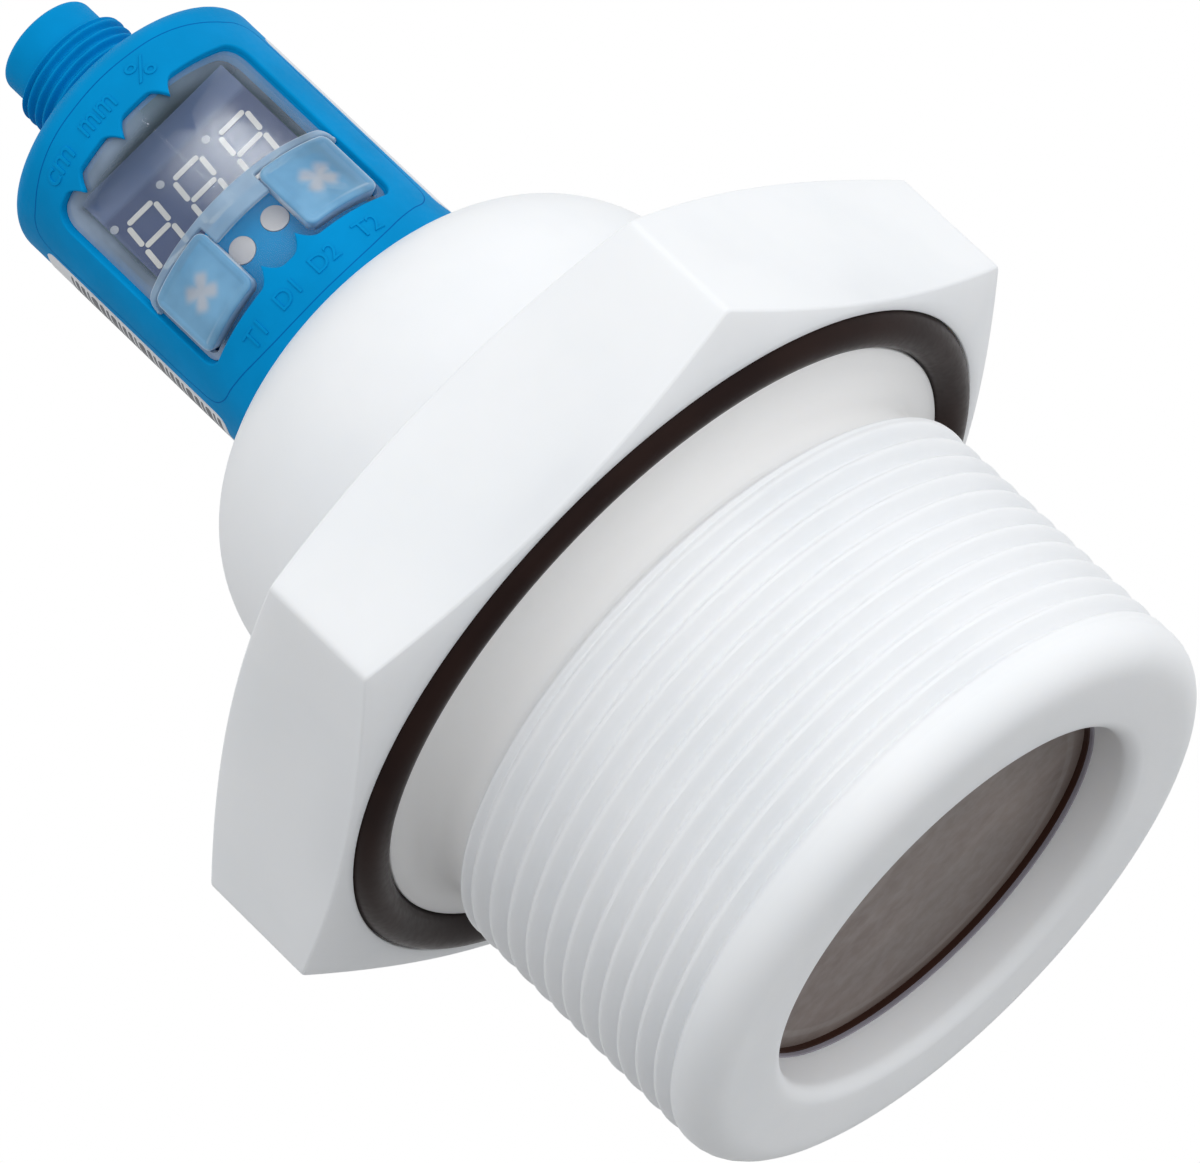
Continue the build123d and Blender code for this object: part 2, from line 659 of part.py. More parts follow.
def key(side):
    """Milky key pad with the flange that keeps it behind the cover."""
    pad = tube(KEY_TOP_R, KEY_BACK_R, KEY_LOW_Z - 2, KEY_HIGH_Z + 2) & forward(key_face(side))
    rim = pad.faces().sort_by(lambda face: -sqrt(face.center().X ** 2 + face.center().Y ** 2))[0]
    pad = fillet(rim.edges(), KEY_RIM_ROUNDING)
    flange_r = KEY_BACK_R + KEY_FLANGE_WALL
    flange = tube(flange_r, KEY_BACK_R, KEY_LOW_Z - 2, KEY_HIGH_Z + 2) & forward(key_face(side, KEY_FLANGE))
    return pad + flange


def plunger(side):
    """Cream four-lobed post between the key pad and the button of its switch."""
    body = forward(Pos(side * CROSS_X, CROSS_Z) * cross_face(), POST_END_Y)
    return body & drum(KEY_BACK_R, KEY_LOW_Z, KEY_HIGH_Z)


def key_carrier():
    """Blue moulding behind the keys, on two legs, with openings for the posts and light guides."""
    body = drum(KEY_CARRIER_R, KEY_CARRIER_LOW_Z, KEY_CARRIER_HIGH_Z)
    body -= Pos(0, KEY_CARRIER_WALL, 0) * drum(KEY_CARRIER_R, KEY_CARRIER_LOW_Z - 1, KEY_CARRIER_HIGH_Z + 1)
    half = KEY_CARRIER_HALF_X
    face = rounded_window(-half, half, KEY_CARRIER_LOW_Z, KEY_CARRIER_HIGH_Z, KEY_CORNER)
    body &= forward(face, SWITCH_FRONT_Y - 2 * SLIP)
    for x in (-CARRIER_LEG_X, CARRIER_LEG_X):
        leg = post(x, CARRIER_LEG_Z, CARRIER_LEG_R, DISPLAY_BOARD_Y, DISPLAY_Y)
        body += leg & drum(KEY_CARRIER_R, KEY_CARRIER_LOW_Z - 1, KEY_CARRIER_HIGH_Z)
    for side in (-1, 1):
        body -= forward(Pos(side * CROSS_X, CROSS_Z) * cross_face(KEY_GAP))
        body -= post(side * GUIDE_X, GUIDE_Z, GUIDE_R + SLIP, 0, FRONT_Y)
    return body


def light_guide(side):
    """Cream round guide from its light to the channel between the keys."""
    back = DISPLAY_BOARD_Y - LED_HEIGHT - 2 * SLIP
    body = post(side * GUIDE_X, GUIDE_Z, GUIDE_R, back, FRONT_Y)
    return body & drum(KEY_CARRIER_R + 2 * SLIP, KEY_CARRIER_LOW_Z, KEY_CARRIER_HIGH_Z)


def led(side):
    """Light on the display board."""
    x = side * GUIDE_X
    y = DISPLAY_BOARD_Y - LED_HEIGHT / 2
    return Pos(x, y, GUIDE_Z) * Box(LED_SIZE, LED_HEIGHT, LED_SIZE)


def switch(side):
    """Square switch body with the bore for its button."""
    x = side * CROSS_X
    half = SWITCH_SIZE / 2
    body = slab(x - half, x + half, SWITCH_FRONT_Y, DISPLAY_BOARD_Y, CROSS_Z - half, CROSS_Z + half)
    bore_end = SWITCH_FRONT_Y + SWITCH_BORE_DEPTH
    return body - post(x, CROSS_Z, SWITCH_BUTTON_R + SLIP, bore_end, SWITCH_FRONT_Y - 1)


def switch_button(side):
    """Round button of the switch, which the post presses."""
    inner = SWITCH_FRONT_Y + SWITCH_BORE_DEPTH - KEY_TRAVEL - 2 * SLIP
    return post(side * CROSS_X, CROSS_Z, SWITCH_BUTTON_R, inner, POST_END_Y)


def display_module():
    """Display body with its flat dark face."""
    return slab(
        -DISPLAY_HALF_X, DISPLAY_HALF_X, DISPLAY_Y, DISPLAY_BOARD_Y, DISPLAY_LOW_Z, DISPLAY_HIGH_Z
    )


def segment(length, vertical):
    """One bar of a digit, pointed at both ends."""
    half = length / 2 - SEGMENT_GAP / 2
    side = SEGMENT_WIDTH / 2
    upper = [(-half, 0), (side - half, side), (half - side, side)]
    points = upper + [(-x, -z) for x, z in upper]
    face = make_face(Polyline(*points, close=True))
    return Rot(0, 0, 90) * face if vertical else face


def digit():
    """The seven bars and the point of one digit, lower left corner at the origin."""
    width = DIGIT_WIDTH - SEGMENT_WIDTH
    height = (DIGIT_HEIGHT - SEGMENT_WIDTH) / 2
    edge = SEGMENT_WIDTH / 2
    lean = tan(radians(DIGIT_SLANT))
    bars = []
    for level in range(3):
        z = edge + level * height
        bars.append(Pos(edge + width / 2 + z * lean, z) * segment(width, False))
    for level in range(2):
        z = edge + (level + 0.5) * height
        for x in (edge, edge + width):
            bars.append(Pos(x + z * lean, z) * Rot(0, 0, -DIGIT_SLANT) * segment(height, True))
    bars.append(Pos(DIGIT_WIDTH + SEGMENT_WIDTH, DOT_R) * RegularPolygon(DOT_R, 8))
    return bars


def display_segments():
    """Bars and points of all digits, as thin plates on the display's face."""
    plates = []
    for place in range(DIGIT_COUNT):
        x = DIGIT_FIRST_X + place * DIGIT_PITCH - DIGIT_HEIGHT * tan(radians(DIGIT_SLANT))
        for bar in digit():
            placed = Pos(x, DIGIT_TOP_Z - DIGIT_HEIGHT) * bar
            plates.append(forward(placed, DISPLAY_Y, DISPLAY_Y - SEGMENT_THICKNESS).solid())
        place_of_dot = Pos(x - SEGMENT_WIDTH, DIGIT_TOP_Z + DOT_R)
        dot = forward(place_of_dot * RegularPolygon(DOT_R, 8), DISPLAY_Y, DISPLAY_Y - SEGMENT_THICKNESS)
        plates.append(dot.solid())
    return Compound(children=plates)


def display_board():
    """Board that carries the display, the lights and the switches."""
    return slab(
        -DISPLAY_BOARD_HALF_X,
        DISPLAY_BOARD_HALF_X,
        DISPLAY_BOARD_Y,
        DISPLAY_BOARD_Y + BOARD_THICKNESS,
        DISPLAY_BOARD_LOW_Z,
        DISPLAY_BOARD_HIGH_Z,
    )


def board_header():
    """Plug-in row that joins the display board to the main board."""
    front = DISPLAY_BOARD_Y + BOARD_THICKNESS
    low = HEADER_Z - HEADER_HEIGHT / 2
    return slab(-HEADER_HALF_X, HEADER_HALF_X, front, -MAIN_BOARD_THICKNESS / 2, low, low + HEADER_HEIGHT)


def contacts(radius, low, high, tip=0.0):
    """Round pins on the contact circle."""
    pins = []
    for number in range(CONTACT_COUNT):
        pin = Rot(0, 0, 360 / CONTACT_COUNT * number) * Pos(CONTACT_CIRCLE_R, 0, 0) * drum(radius, low, high)
        if tip:
            pin = chamfer(pin.edges().sort_by(Axis.Z)[-1], tip)
        pins.append(pin.solid())
    return pins


def contact_pins():
    """Contacts from the connector board to the mating space."""
    return Compound(children=contacts(CONTACT_R, CONNECTOR_BOARD_LOW_Z, CONTACT_TIP_Z, CONTACT_R / 2))


def contact_carrier():
    """Insulating insert that holds the contacts."""
    body = turned(
        (0, CONNECTOR_BOARD_TOP_Z, 0),
        (CARRIER_FLANGE_R, CONNECTOR_BOARD_TOP_Z, 0),
        (CARRIER_FLANGE_R, CEILING_Z, 0),
        (NOSE_BORE_R - SLIP, CEILING_Z, 0),
        (NOSE_BORE_R - SLIP, CARRIER_FACE_Z, 0),
        (0, CARRIER_FACE_Z, 0),
    )
    for hole in contacts(CONTACT_R + SLIP, CONNECTOR_BOARD_LOW_Z, CARRIER_FACE_Z + 1):
        body -= hole
    return body


def connector_board():
    """Round board under the contact carrier."""
    body = drum(CONNECTOR_BOARD_R, CONNECTOR_BOARD_LOW_Z, CONNECTOR_BOARD_TOP_Z)
    for hole in contacts(CONTACT_R + SLIP, CONNECTOR_BOARD_LOW_Z - 1, CONNECTOR_BOARD_TOP_Z + 1):
        body -= hole
    return body


def build():
    """Every piece by name."""
    pieces = {
        "process_housing": process_housing(),
        "flange_o_ring": flange_o_ring(),
        "transducer_membrane": transducer_membrane(),
        "membrane_seal": membrane_seal(),
        "matching_layer": matching_layer(),
        "piezo_disc": piezo_disc(),
        "transducer_cup": transducer_cup(),
        "backing_foam": backing_foam(),
        "temperature_sensor": temperature_sensor(),
        "piezo_lead_a": piezo_lead(-1),
        "piezo_lead_b": piezo_lead(1),
        "main_board": main_board(),
        "board_components": board_components(),
        "head_shell": head_shell(),
        "head_seal": head_seal(),
        "rating_label": rating_label(),
        "display_cover": display_cover(),
        "key_carrier": key_carrier(),
        "display_module": display_module(),
        "display_segments": display_segments(),
        "display_board": display_board(),
        "board_header": board_header(),
        "contact_carrier": contact_carrier(),
        "contact_pins": contact_pins(),
        "connector_board": connector_board(),
    }
    for side, number in ((-1, 1), (1, 2)):
        pieces[f"key_t{number}"] = key(side)
        pieces[f"plunger_t{number}"] = plunger(side)
        pieces[f"switch_t{number}"] = switch(side)
        pieces[f"switch_button_t{number}"] = switch_button(side)
        pieces[f"light_guide_d{number}"] = light_guide(side)
        pieces[f"led_d{number}"] = led(side)
    pieces["potting_compound"] = potting_compound(
        pieces["main_board"], pieces["board_components"], pieces["piezo_lead_a"], pieces["piezo_lead_b"]
    )
    return pieces


os.makedirs("parts", exist_ok=True)
for name, piece in build().items():
    export_step(piece, f"parts/{name}.step")
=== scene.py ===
"""Looks of the ultrasonic level sensor: white threaded body, seal ring, membrane and blue display head."""

import json
import math

import bmesh
import bpy
import numpy as np
from mathutils import Matrix, Vector

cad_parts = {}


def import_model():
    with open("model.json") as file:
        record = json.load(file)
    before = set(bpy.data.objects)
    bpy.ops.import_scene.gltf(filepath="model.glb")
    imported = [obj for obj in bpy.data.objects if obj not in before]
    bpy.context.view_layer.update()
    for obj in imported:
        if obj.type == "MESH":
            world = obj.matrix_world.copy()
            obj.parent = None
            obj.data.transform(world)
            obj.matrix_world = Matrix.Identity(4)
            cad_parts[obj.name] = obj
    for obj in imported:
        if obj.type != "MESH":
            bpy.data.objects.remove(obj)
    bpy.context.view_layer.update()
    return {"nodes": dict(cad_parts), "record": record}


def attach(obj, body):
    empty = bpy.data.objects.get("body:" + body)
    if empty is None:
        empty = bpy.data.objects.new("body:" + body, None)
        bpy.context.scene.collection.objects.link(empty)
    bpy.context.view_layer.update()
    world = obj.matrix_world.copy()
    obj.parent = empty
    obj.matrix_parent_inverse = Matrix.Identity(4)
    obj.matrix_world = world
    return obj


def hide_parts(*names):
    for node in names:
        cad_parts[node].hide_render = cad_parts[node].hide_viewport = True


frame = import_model()

MM = 0.001
TAU = 2 * math.pi

# View of the photograph: the camera looks up at the threaded end
VIEW_TARGET = Vector((-0.266, 5.213, 46.857)) * MM
VIEW_DISTANCE = 868.456 * MM
VIEW_ELEVATION = 21.518
VIEW_AZIMUTH = 3.952
VIEW_ROLL = 46.359
LENS = 298.716
SENSOR = 36.0

# Sizes of the body, in millimetres
BODY = {
    "lip_r": 29.807,
    "recess_r": 20.2,
    "recess_depth": 5.6,
    "pitch": 2.309,
    "depth": 1.479,
    "thread_low": 3.3,
    "thread_high": 30.5,
    "neck_r": 27.8,
    "face_z": 37.0,
    "seal_r": 34.0,
    "seal_section": 4.0,
    "seal_z": 37.74,
    "hex_flats": 74.6,
    "hex_rounding": 0.8,
    "hex_top": 52.7,
    "hex_chamfer_r": 36.9,
    "hex_chamfer": math.radians(16.8),
    "hex_turn": math.radians(-1.6),
    "dome_r": 25.57,
    "dome_z": 60.5,
    "dome_rounding": 15.6,
    "barrel_r": 13.8,
    "barrel_deep": 8.0,
    "slack": 0.05,
}
# Radius that the corners of the hexagon have in its outline, before the tree pushes them into place
HEX_REFERENCE = 40.0


class Nodes:
    """Short words for adding and linking nodes in one tree."""

    def __init__(self, tree):
        self.tree = tree

    def add(self, kind, inputs=None, **settings):
        """New node with its settings and inputs."""
        node = self.tree.nodes.new(kind)
        for key, value in settings.items():
            setattr(node, key, value)
        for key, value in (inputs or {}).items():
            self.put(node.inputs[key], value)
        return node

    def put(self, socket, value):
        """Links a socket to another, or sets its value."""
        if isinstance(value, bpy.types.NodeSocket):
            self.tree.links.new(value, socket)
        elif value is not None:
            socket.default_value = value

    def math(self, operation, *values, clamp=False):
        """Result of a sum on one, two or three values."""
        node = self.add("ShaderNodeMath", dict(enumerate(values)), operation=operation, use_clamp=clamp)
        return node.outputs[0]

    def plus(self, first, second):
        return self.math("ADD", first, second)

    def minus(self, first, second):
        return self.math("SUBTRACT", first, second)

    def times(self, first, second):
        return self.math("MULTIPLY", first, second)

    def from_axis(self, x, y):
        """Distance from the Z axis."""
        return self.math("SQRT", self.plus(self.times(x, x), self.times(y, y)))

    def smooth(self, value, low, high, to_low=0.0, to_high=1.0):
        """Smooth step of a value between two limits."""
        values = dict(enumerate((value, low, high, to_low, to_high)))
        return self.add("ShaderNodeMapRange", values, interpolation_type="SMOOTHSTEP").outputs[0]

    def noise(self, where, scale, detail):
        """Soft cloudy value."""
        values = {"Vector": where, "Scale": scale, "Detail": detail}
        return self.add("ShaderNodeTexNoise", values).outputs[0]

    def mix(self, share, first, second):
        """Colour between two others."""
        return self.add("ShaderNodeMix", {0: share, 6: first, 7: second}, data_type="RGBA").outputs[2]

    def place(self):
        """Object coordinates split into x, y and z."""
        where = self.add("ShaderNodeTexCoord").outputs["Object"]
        split = self.add("ShaderNodeSeparateXYZ", {"Vector": where})
        return where, split.outputs["X"], split.outputs["Y"], split.outputs["Z"]

    def named(self, name):
        """Value kept on the points under a name."""
        return self.add("GeometryNodeInputNamedAttribute", {"Name": name}, data_type="FLOAT").outputs[0]

    def keep(self, shape, name, value):
        """Geometry that keeps a value on its points under a name."""
        values = {"Geometry": shape, "Name": name, "Value": value}
        kind = "GeometryNodeStoreNamedAttribute"
        return self.add(kind, values, data_type="FLOAT", domain="POINT").outputs[0]

    def finish(self, shape, paint, out):
        """Ends a Geometry Nodes tree with real geometry and its material."""
        real = self.add("GeometryNodeRealizeInstances", {"Geometry": shape})
        painted = self.add("GeometryNodeSetMaterial", {"Geometry": real.outputs[0], "Material": paint})
        self.tree.links.new(painted.outputs[0], out[0])


def new_tree(kind, name, given, given_out):
    """New node group with its sockets: the tree, its nodes, what comes in and what goes out."""
    tree = bpy.data.node_groups.new(name, kind)
    for label, socket_type, default in given:
        socket = tree.interface.new_socket(label, in_out="INPUT", socket_type=socket_type)
        if default is not None:
            socket.default_value = default
    for label, socket_type in given_out:
        tree.interface.new_socket(label, in_out="OUTPUT", socket_type=socket_type)
    n = Nodes(tree)
    return tree, n, n.add("NodeGroupInput").outputs, n.add("NodeGroupOutput").inputs


def smooth_step(value, start=0.0, end=1.0):
    """Zero before the start, one after the end, soft between."""
    share = min(1.0, max(0.0, (value - start) / (end - start)))
    return share * share * (3 - 2 * share)


def add_object(name, data):
    """New object in the scene."""
    made = bpy.data.objects.new(name, data)
    bpy.context.scene.collection.objects.link(made)
    return made


def final_mesh(piece):
    """Mesh of an object with its modifiers applied."""
    bpy.context.view_layer.update()
    graph = bpy.context.evaluated_depsgraph_get()
    return bpy.data.meshes.new_from_object(piece.evaluated_get(graph))


def keep_values(mesh, columns):
    """Puts named values on the points of a mesh."""
    for name, values in columns.items():
        mesh.attributes.new(name, "FLOAT", "POINT").data.foreach_set("value", values)


def shaped(piece, tree, values, scratch):
    """Mesh that a Geometry Nodes tree makes of an object, without the tree's scratch values."""
    modifier = piece.modifiers.new("shape", "NODES")
    modifier.node_group = tree
    sockets = {s.name: s.identifier for s in tree.interface.items_tree if s.in_out == "INPUT"}
    for name, value in values.items():
        modifier[sockets[name]] = value
    made = final_mesh(piece)
    piece.modifiers.clear()
    for name in scratch:
        if name in made.attributes:
            made.attributes.remove(made.attributes[name])
    return made


# Turned pieces
def turned_tree():
    """Sweeps an outline of points (radius, height) round the Z axis, with hexagon and thread."""
    given = (
        ("Geometry", "NodeSocketGeometry", None),
        ("Sections", "NodeSocketInt", 128),
        ("Corner Crowding", "NodeSocketFloat", 0.0),
        ("Across Flats", "NodeSocketFloat", 0.0746),
        ("Corner Rounding", "NodeSocketFloat", 0.0008),
        ("Hexagon Turn", "NodeSocketFloat", 0.0),
        ("Chamfer Slope", "NodeSocketFloat", 0.3),
        ("Thread Pitch", "NodeSocketFloat", 0.001),
        ("Thread Depth", "NodeSocketFloat", 0.0),
        ("Thread Low", "NodeSocketFloat", 0.0),
        ("Thread High", "NodeSocketFloat", 0.0),
        ("Material", "NodeSocketMaterial", None),
    )
    given_out = (("Geometry", "NodeSocketGeometry"),)
    tree, n, given, out = new_tree("GeometryNodeTree", "turned_piece", given, given_out)
    outline = n.add("GeometryNodeMeshToCurve", {"Mesh": given["Geometry"]}).outputs[0]
    ring = n.add("GeometryNodeCurvePrimitiveCircle", {"Resolution": given["Sections"], "Radius": 1.0})
    index = n.add("GeometryNodeInputIndex").outputs[0]
    share = n.math("DIVIDE", index, given["Sections"])
    step = n.times(share, TAU)
    path = n.keep(ring.outputs["Curve"], "turn", step)
    swept = n.add("GeometryNodeCurveToMesh", {"Curve": path, "Profile Curve": outline})
    turn = n.named("turn")
    crowd = n.times(n.math("SINE", n.times(turn, 6.0)), given["Corner Crowding"])
    from_corner = n.minus(turn, n.math("DIVIDE", crowd, 6.0))
    angle = n.plus(from_corner, given["Hexagon Turn"])
    # distance from the axis to the hexagon's rounded outline
    flat = n.times(given["Across Flats"], 0.5)
    off = n.math("PINGPONG", from_corner, math.pi / 6)
    to_flat = n.math("DIVIDE", flat, n.math("COSINE", n.minus(math.pi / 6, off)))
    rounding = given["Corner Rounding"]
    middle = n.math("DIVIDE", n.minus(flat, rounding), math.cos(math.pi / 6))
    sideways = n.times(middle, n.math("SINE", off))
    inside = n.minus(n.math("POWER", rounding, 2.0), n.math("POWER", sideways, 2.0))
    bulge = n.math("SQRT", n.math("MAXIMUM", inside, 0.0))
    to_round = n.plus(n.times(middle, n.math("COSINE", off)), bulge)
    limit = n.math("ARCTAN2", n.times(rounding, 0.5), n.plus(middle, rounding))
    at_corner = n.math("LESS_THAN", off, limit)
    reach = n.add("GeometryNodeSwitch", {0: at_corner, 1: to_flat, 2: to_round}, input_type="FLOAT")
    beyond = n.minus(reach.outputs[0], HEX_REFERENCE * MM)
    radius = n.plus(n.named("ring_radius"), n.times(n.named("hex_out"), beyond))
    lift = n.times(n.times(n.named("hex_rise"), beyond), given["Chamfer Slope"])
    height = n.plus(n.named("ring_height"), lift)
    # right-handed thread: one crest climbs a pitch for each turn
    climb = n.math("DIVIDE", height, given["Thread Pitch"])
    phase = n.minus(climb, n.math("DIVIDE", angle, TAU))
    to_root = n.times(n.math("PINGPONG", phase, 0.5), 2.0)
    dip = n.smooth(to_root, 0.08, 0.95)
    low = n.smooth(height, given["Thread Low"], n.plus(given["Thread Low"], given["Thread Pitch"]))
    high_from = n.minus(given["Thread High"], n.times(given["Thread Pitch"], 0.4))
    high = n.smooth(height, high_from, given["Thread High"], 1.0, 0.0)
    cut = n.times(n.times(dip, given["Thread Depth"]), n.times(low, high))
    radius = n.minus(radius, n.times(cut, n.named("threaded")))
    x = n.times(radius, n.math("COSINE", angle))
    y = n.times(radius, n.math("SINE", angle))
    where = n.add("ShaderNodeCombineXYZ", {"X": x, "Y": y, "Z": height})
    placed = n.add("GeometryNodeSetPosition", {"Geometry": swept.outputs[0], "Position": where.outputs[0]})
    shaded = n.add("GeometryNodeSetShadeSmooth", {"Geometry": placed.outputs[0]})
    n.finish(shaded.outputs[0], given["Material"], out)
    return tree


TURNED = turned_tree()
# Edges sharper than this stay sharp in the shading
SHARP = math.radians(38)


def rounded_outline(corners, closed=True, arc_steps=8):
    """Points of an outline with rounded corners.

    A corner is (radius, height, rounding, step, hex_out, hex_rise, threaded), where step is the
    longest distance between points on the run that ends at the corner.
    """
    rows = [tuple(c) + (0,) * (7 - len(c)) for c in corners]
    count = len(rows)
    points = []
    for i, row in enumerate(rows):
        here = np.array(row[:2], float)
        rounding = row[2]
        tags = np.array(row[4:], float)
        before = np.array(rows[i - 1][:2], float)
        after = np.array(rows[(i + 1) % count][:2], float)
        if not rounding or (not closed and i in (0, count - 1)):
            points.append((here, tags, row[3]))
            continue
        back = (before - here) / np.linalg.norm(before - here)
        ahead = (after - here) / np.linalg.norm(after - here)
        half = math.acos(float(np.clip(back @ ahead, -1, 1))) / 2
        tangent = rounding / math.tan(half)
        middle = here + (back + ahead) / np.linalg.norm(back + ahead) * rounding / math.sin(half)
        start = here + back * tangent - middle
        end = here + ahead * tangent - middle
        sweep = math.atan2(start[0] * end[1] - start[1] * end[0], float(start @ end))
        for k in range(arc_steps + 1):
            a = sweep * k / arc_steps
            turn = np.array([[math.cos(a), -math.sin(a)], [math.sin(a), math.cos(a)]])
            points.append((middle + turn @ start, tags, row[3] if k == 0 else 0))
    full = []
    total = len(points)
    for i, (here, tags, step) in enumerate(points):
        if step and (closed or i):
            last, last_tags, _ = points[i - 1]
            length = float(np.linalg.norm(here - last))
            cuts = max(1, int(math.ceil(length / step)))
            for k in range(1, cuts):
                share = k / cuts
                full.append((last + (here - last) * share, last_tags + (tags - last_tags) * share))
        full.append((here, tags))
    return full


def turned(name, outline, material, closed=True, **inputs):
    """Turned piece from an outline in millimetres."""
    mesh = bpy.data.meshes.new(name + "_outline")
    count = len(outline)
    edges = [(i, (i + 1) % count) for i in range(count if closed else count - 1)]
    mesh.from_pydata([(p[0] * MM, 0, p[1] * MM) for p, _ in outline], edges, [])
    columns = {
        "ring_radius": [p[0] * MM for p, _ in outline],
        "ring_height": [p[1] * MM for p, _ in outline],
        "hex_out": [t[0] for _, t in outline],
        "hex_rise": [t[1] for _, t in outline],
        "threaded": [t[2] for _, t in outline],
    }
    keep_values(mesh, columns)
    piece = add_object(name, mesh)
    values = {key.replace("_", " "): value for key, value in inputs.items()}
    values["Material"] = material
    piece.data = shaped(piece, TURNED, values, [*columns, "turn"])
    shape = bmesh.new()
    shape.from_mesh(piece.data)
    bmesh.ops.remove_doubles(shape, verts=shape.verts, dist=1e-7)
    bmesh.ops.recalc_face_normals(shape, faces=shape.faces)
    shape.to_mesh(piece.data)
    shape.free()
    piece.data.set_sharp_from_angle(angle=SHARP)
    return piece


# Effects that several materials share
def moulded_grain():
    """Cloudy colour, uneven gloss and the fine grain of a moulded or coated surface."""
    tree, n, given, out = new_tree(
        "ShaderNodeTree",
        "moulded_grain",
        (
            ("Vector", "NodeSocketVector", None),
            ("Dark", "NodeSocketColor", (0.4, 0.4, 0.4, 1)),
            ("Light", "NodeSocketColor", (0.5, 0.5, 0.5, 1)),
            ("Cloud Scale", "NodeSocketFloat", 60.0),
            ("Grain Scale", "NodeSocketFloat", 900.0),
            ("Grain Depth", "NodeSocketFloat", 0.1),
            ("Gloss Low", "NodeSocketFloat", 0.35),
            ("Gloss High", "NodeSocketFloat", 0.45),
        ),
        (("Colour", "NodeSocketColor"), ("Roughness", "NodeSocketFloat"), ("Normal", "NodeSocketVector")),
    )
    cloud = n.noise(given["Vector"], given["Cloud Scale"], 3.0)
    grain = n.noise(given["Vector"], given["Grain Scale"], 2.0)
    share = n.smooth(cloud, 0.3, 0.7)
    n.put(out["Colour"], n.mix(share, given["Dark"], given["Light"]))
    n.put(out["Roughness"], n.smooth(grain, 0.25, 0.75, given["Gloss Low"], given["Gloss High"]))
    bump = n.add("ShaderNodeBump", {"Height": grain, "Strength": given["Grain Depth"], "Distance": 0.0001})
    n.put(out["Normal"], bump.outputs[0])
    return tree


def milkiness():
    """Share of milk in a clear moulding: cloudy, and denser towards its left side and its top."""
    tree, n, given, out = new_tree(
        "ShaderNodeTree",
        "milkiness",
        (
            ("Vector", "NodeSocketVector", None),
            ("Clear", "NodeSocketFloat", 0.08),
            ("Dense", "NodeSocketFloat", 0.4),
            ("Side From", "NodeSocketFloat", 0.0083),
            ("Side To", "NodeSocketFloat", 0.0095),
            ("Top From", "NodeSocketFloat", 0.0993),
            ("Top To", "NodeSocketFloat", 0.1012),
        ),
        (("Milk", "NodeSocketFloat"),),
    )
    split = n.add("ShaderNodeSeparateXYZ", {"Vector": given["Vector"]})
    across = n.math("ABSOLUTE", split.outputs["X"])
    side = n.smooth(across, given["Side From"], given["Side To"])
    top = n.smooth(split.outputs["Z"], given["Top From"], given["Top To"])
    place = n.math("MAXIMUM", side, top)
    place = n.times(place, n.smooth(split.outputs["X"], -0.005, 0.008, 1.0, 0.3))
    cloud = n.noise(given["Vector"], 160.0, 3.0)
    uneven = n.smooth(cloud, 0.25, 0.75, 0.75, 1.25)
    milk = n.plus(given["Clear"], n.times(place, given["Dense"]))
    n.put(out["Milk"], n.times(milk, uneven))
    return tree


GRAIN = moulded_grain()
MILK = milkiness()


# Materials
def material(name):
    """New node material with its Principled shader."""
    made = bpy.data.materials.new(name)
    made.use_nodes = True
    n = Nodes(made.node_tree)
    shader = made.node_tree.nodes["Principled BSDF"]
    return made, n, shader


def grained(n, shader, where, dark, light, cloud=60.0, grain=900.0, depth=0.1, gloss=(0.35, 0.45)):
    """Places the shared grain in a material and gives back its colour."""
    values = {
        "Vector": where,
        "Dark": tuple(dark) + (1,),
        "Light": tuple(light) + (1,),
        "Cloud Scale": cloud,
        "Grain Scale": grain,
        "Grain Depth": depth,
        "Gloss Low": gloss[0],
        "Gloss High": gloss[1],
    }
    group = n.add("ShaderNodeGroup", values, node_tree=GRAIN)
    n.put(shader.inputs["Base Color"], group.outputs["Colour"])
    n.put(shader.inputs["Roughness"], group.outputs["Roughness"])
    n.put(shader.inputs["Normal"], group.outputs["Normal"])
    return group.outputs["Colour"]


# Where the white body is painted lighter and a little warmer, as painted light against the shade on its neck
# beside the seal ring: distances from the axis and heights, in metres
NECK_PAINTED_LIGHT = {"r": (0.0315, 0.033), "low": (0.0305, 0.033), "high": (0.0372, 0.0385)}


def white_body():
    """Natural white fluoroplastic: satin, a little translucent, painted lighter and a little warmer beside
    the seal ring, as painted light against the shade on its neck.
    """
    made, n, shader = material("pvdf_white")
    where, x, y, z = n.place()
    dark, light = (0.90, 0.91, 0.925), (0.945, 0.95, 0.96)
    colour = grained(n, shader, where, dark, light, depth=0.06, gloss=(0.36, 0.48))
    across = n.from_axis(x, y)
    # painted light: share of the neck beside the seal ring that is painted lighter against the shade that
    # falls there
    near = n.times(n.smooth(across, *NECK_PAINTED_LIGHT["r"], 1.0, 0.0), n.smooth(z, *NECK_PAINTED_LIGHT["low"]))
    near = n.times(near, n.smooth(z, *NECK_PAINTED_LIGHT["high"], 1.0, 0.0))
    n.put(shader.inputs["Base Color"], n.mix(near, colour, (0.985, 0.97, 0.955, 1)))
    shader.inputs["Specular IOR Level"].default_value = 0.35
    shader.inputs["Subsurface Weight"].default_value = 0.35
    shader.inputs["Subsurface Radius"].default_value = (1.0, 0.95, 0.88)
    shader.inputs["Subsurface Scale"].default_value = 0.004
    return made


def dark_rubber():
    """Brown-black rubber of the seal rings."""
    made, n, shader = material("fkm_dark")
    where, _, _, _ = n.place()
    grained(n, shader, where, (0.015, 0.007, 0.006), (0.021, 0.010, 0.008), 120.0, 1500.0, 0.04, (0.30, 0.38))
    shader.inputs["Specular IOR Level"].default_value = 0.08
    return made


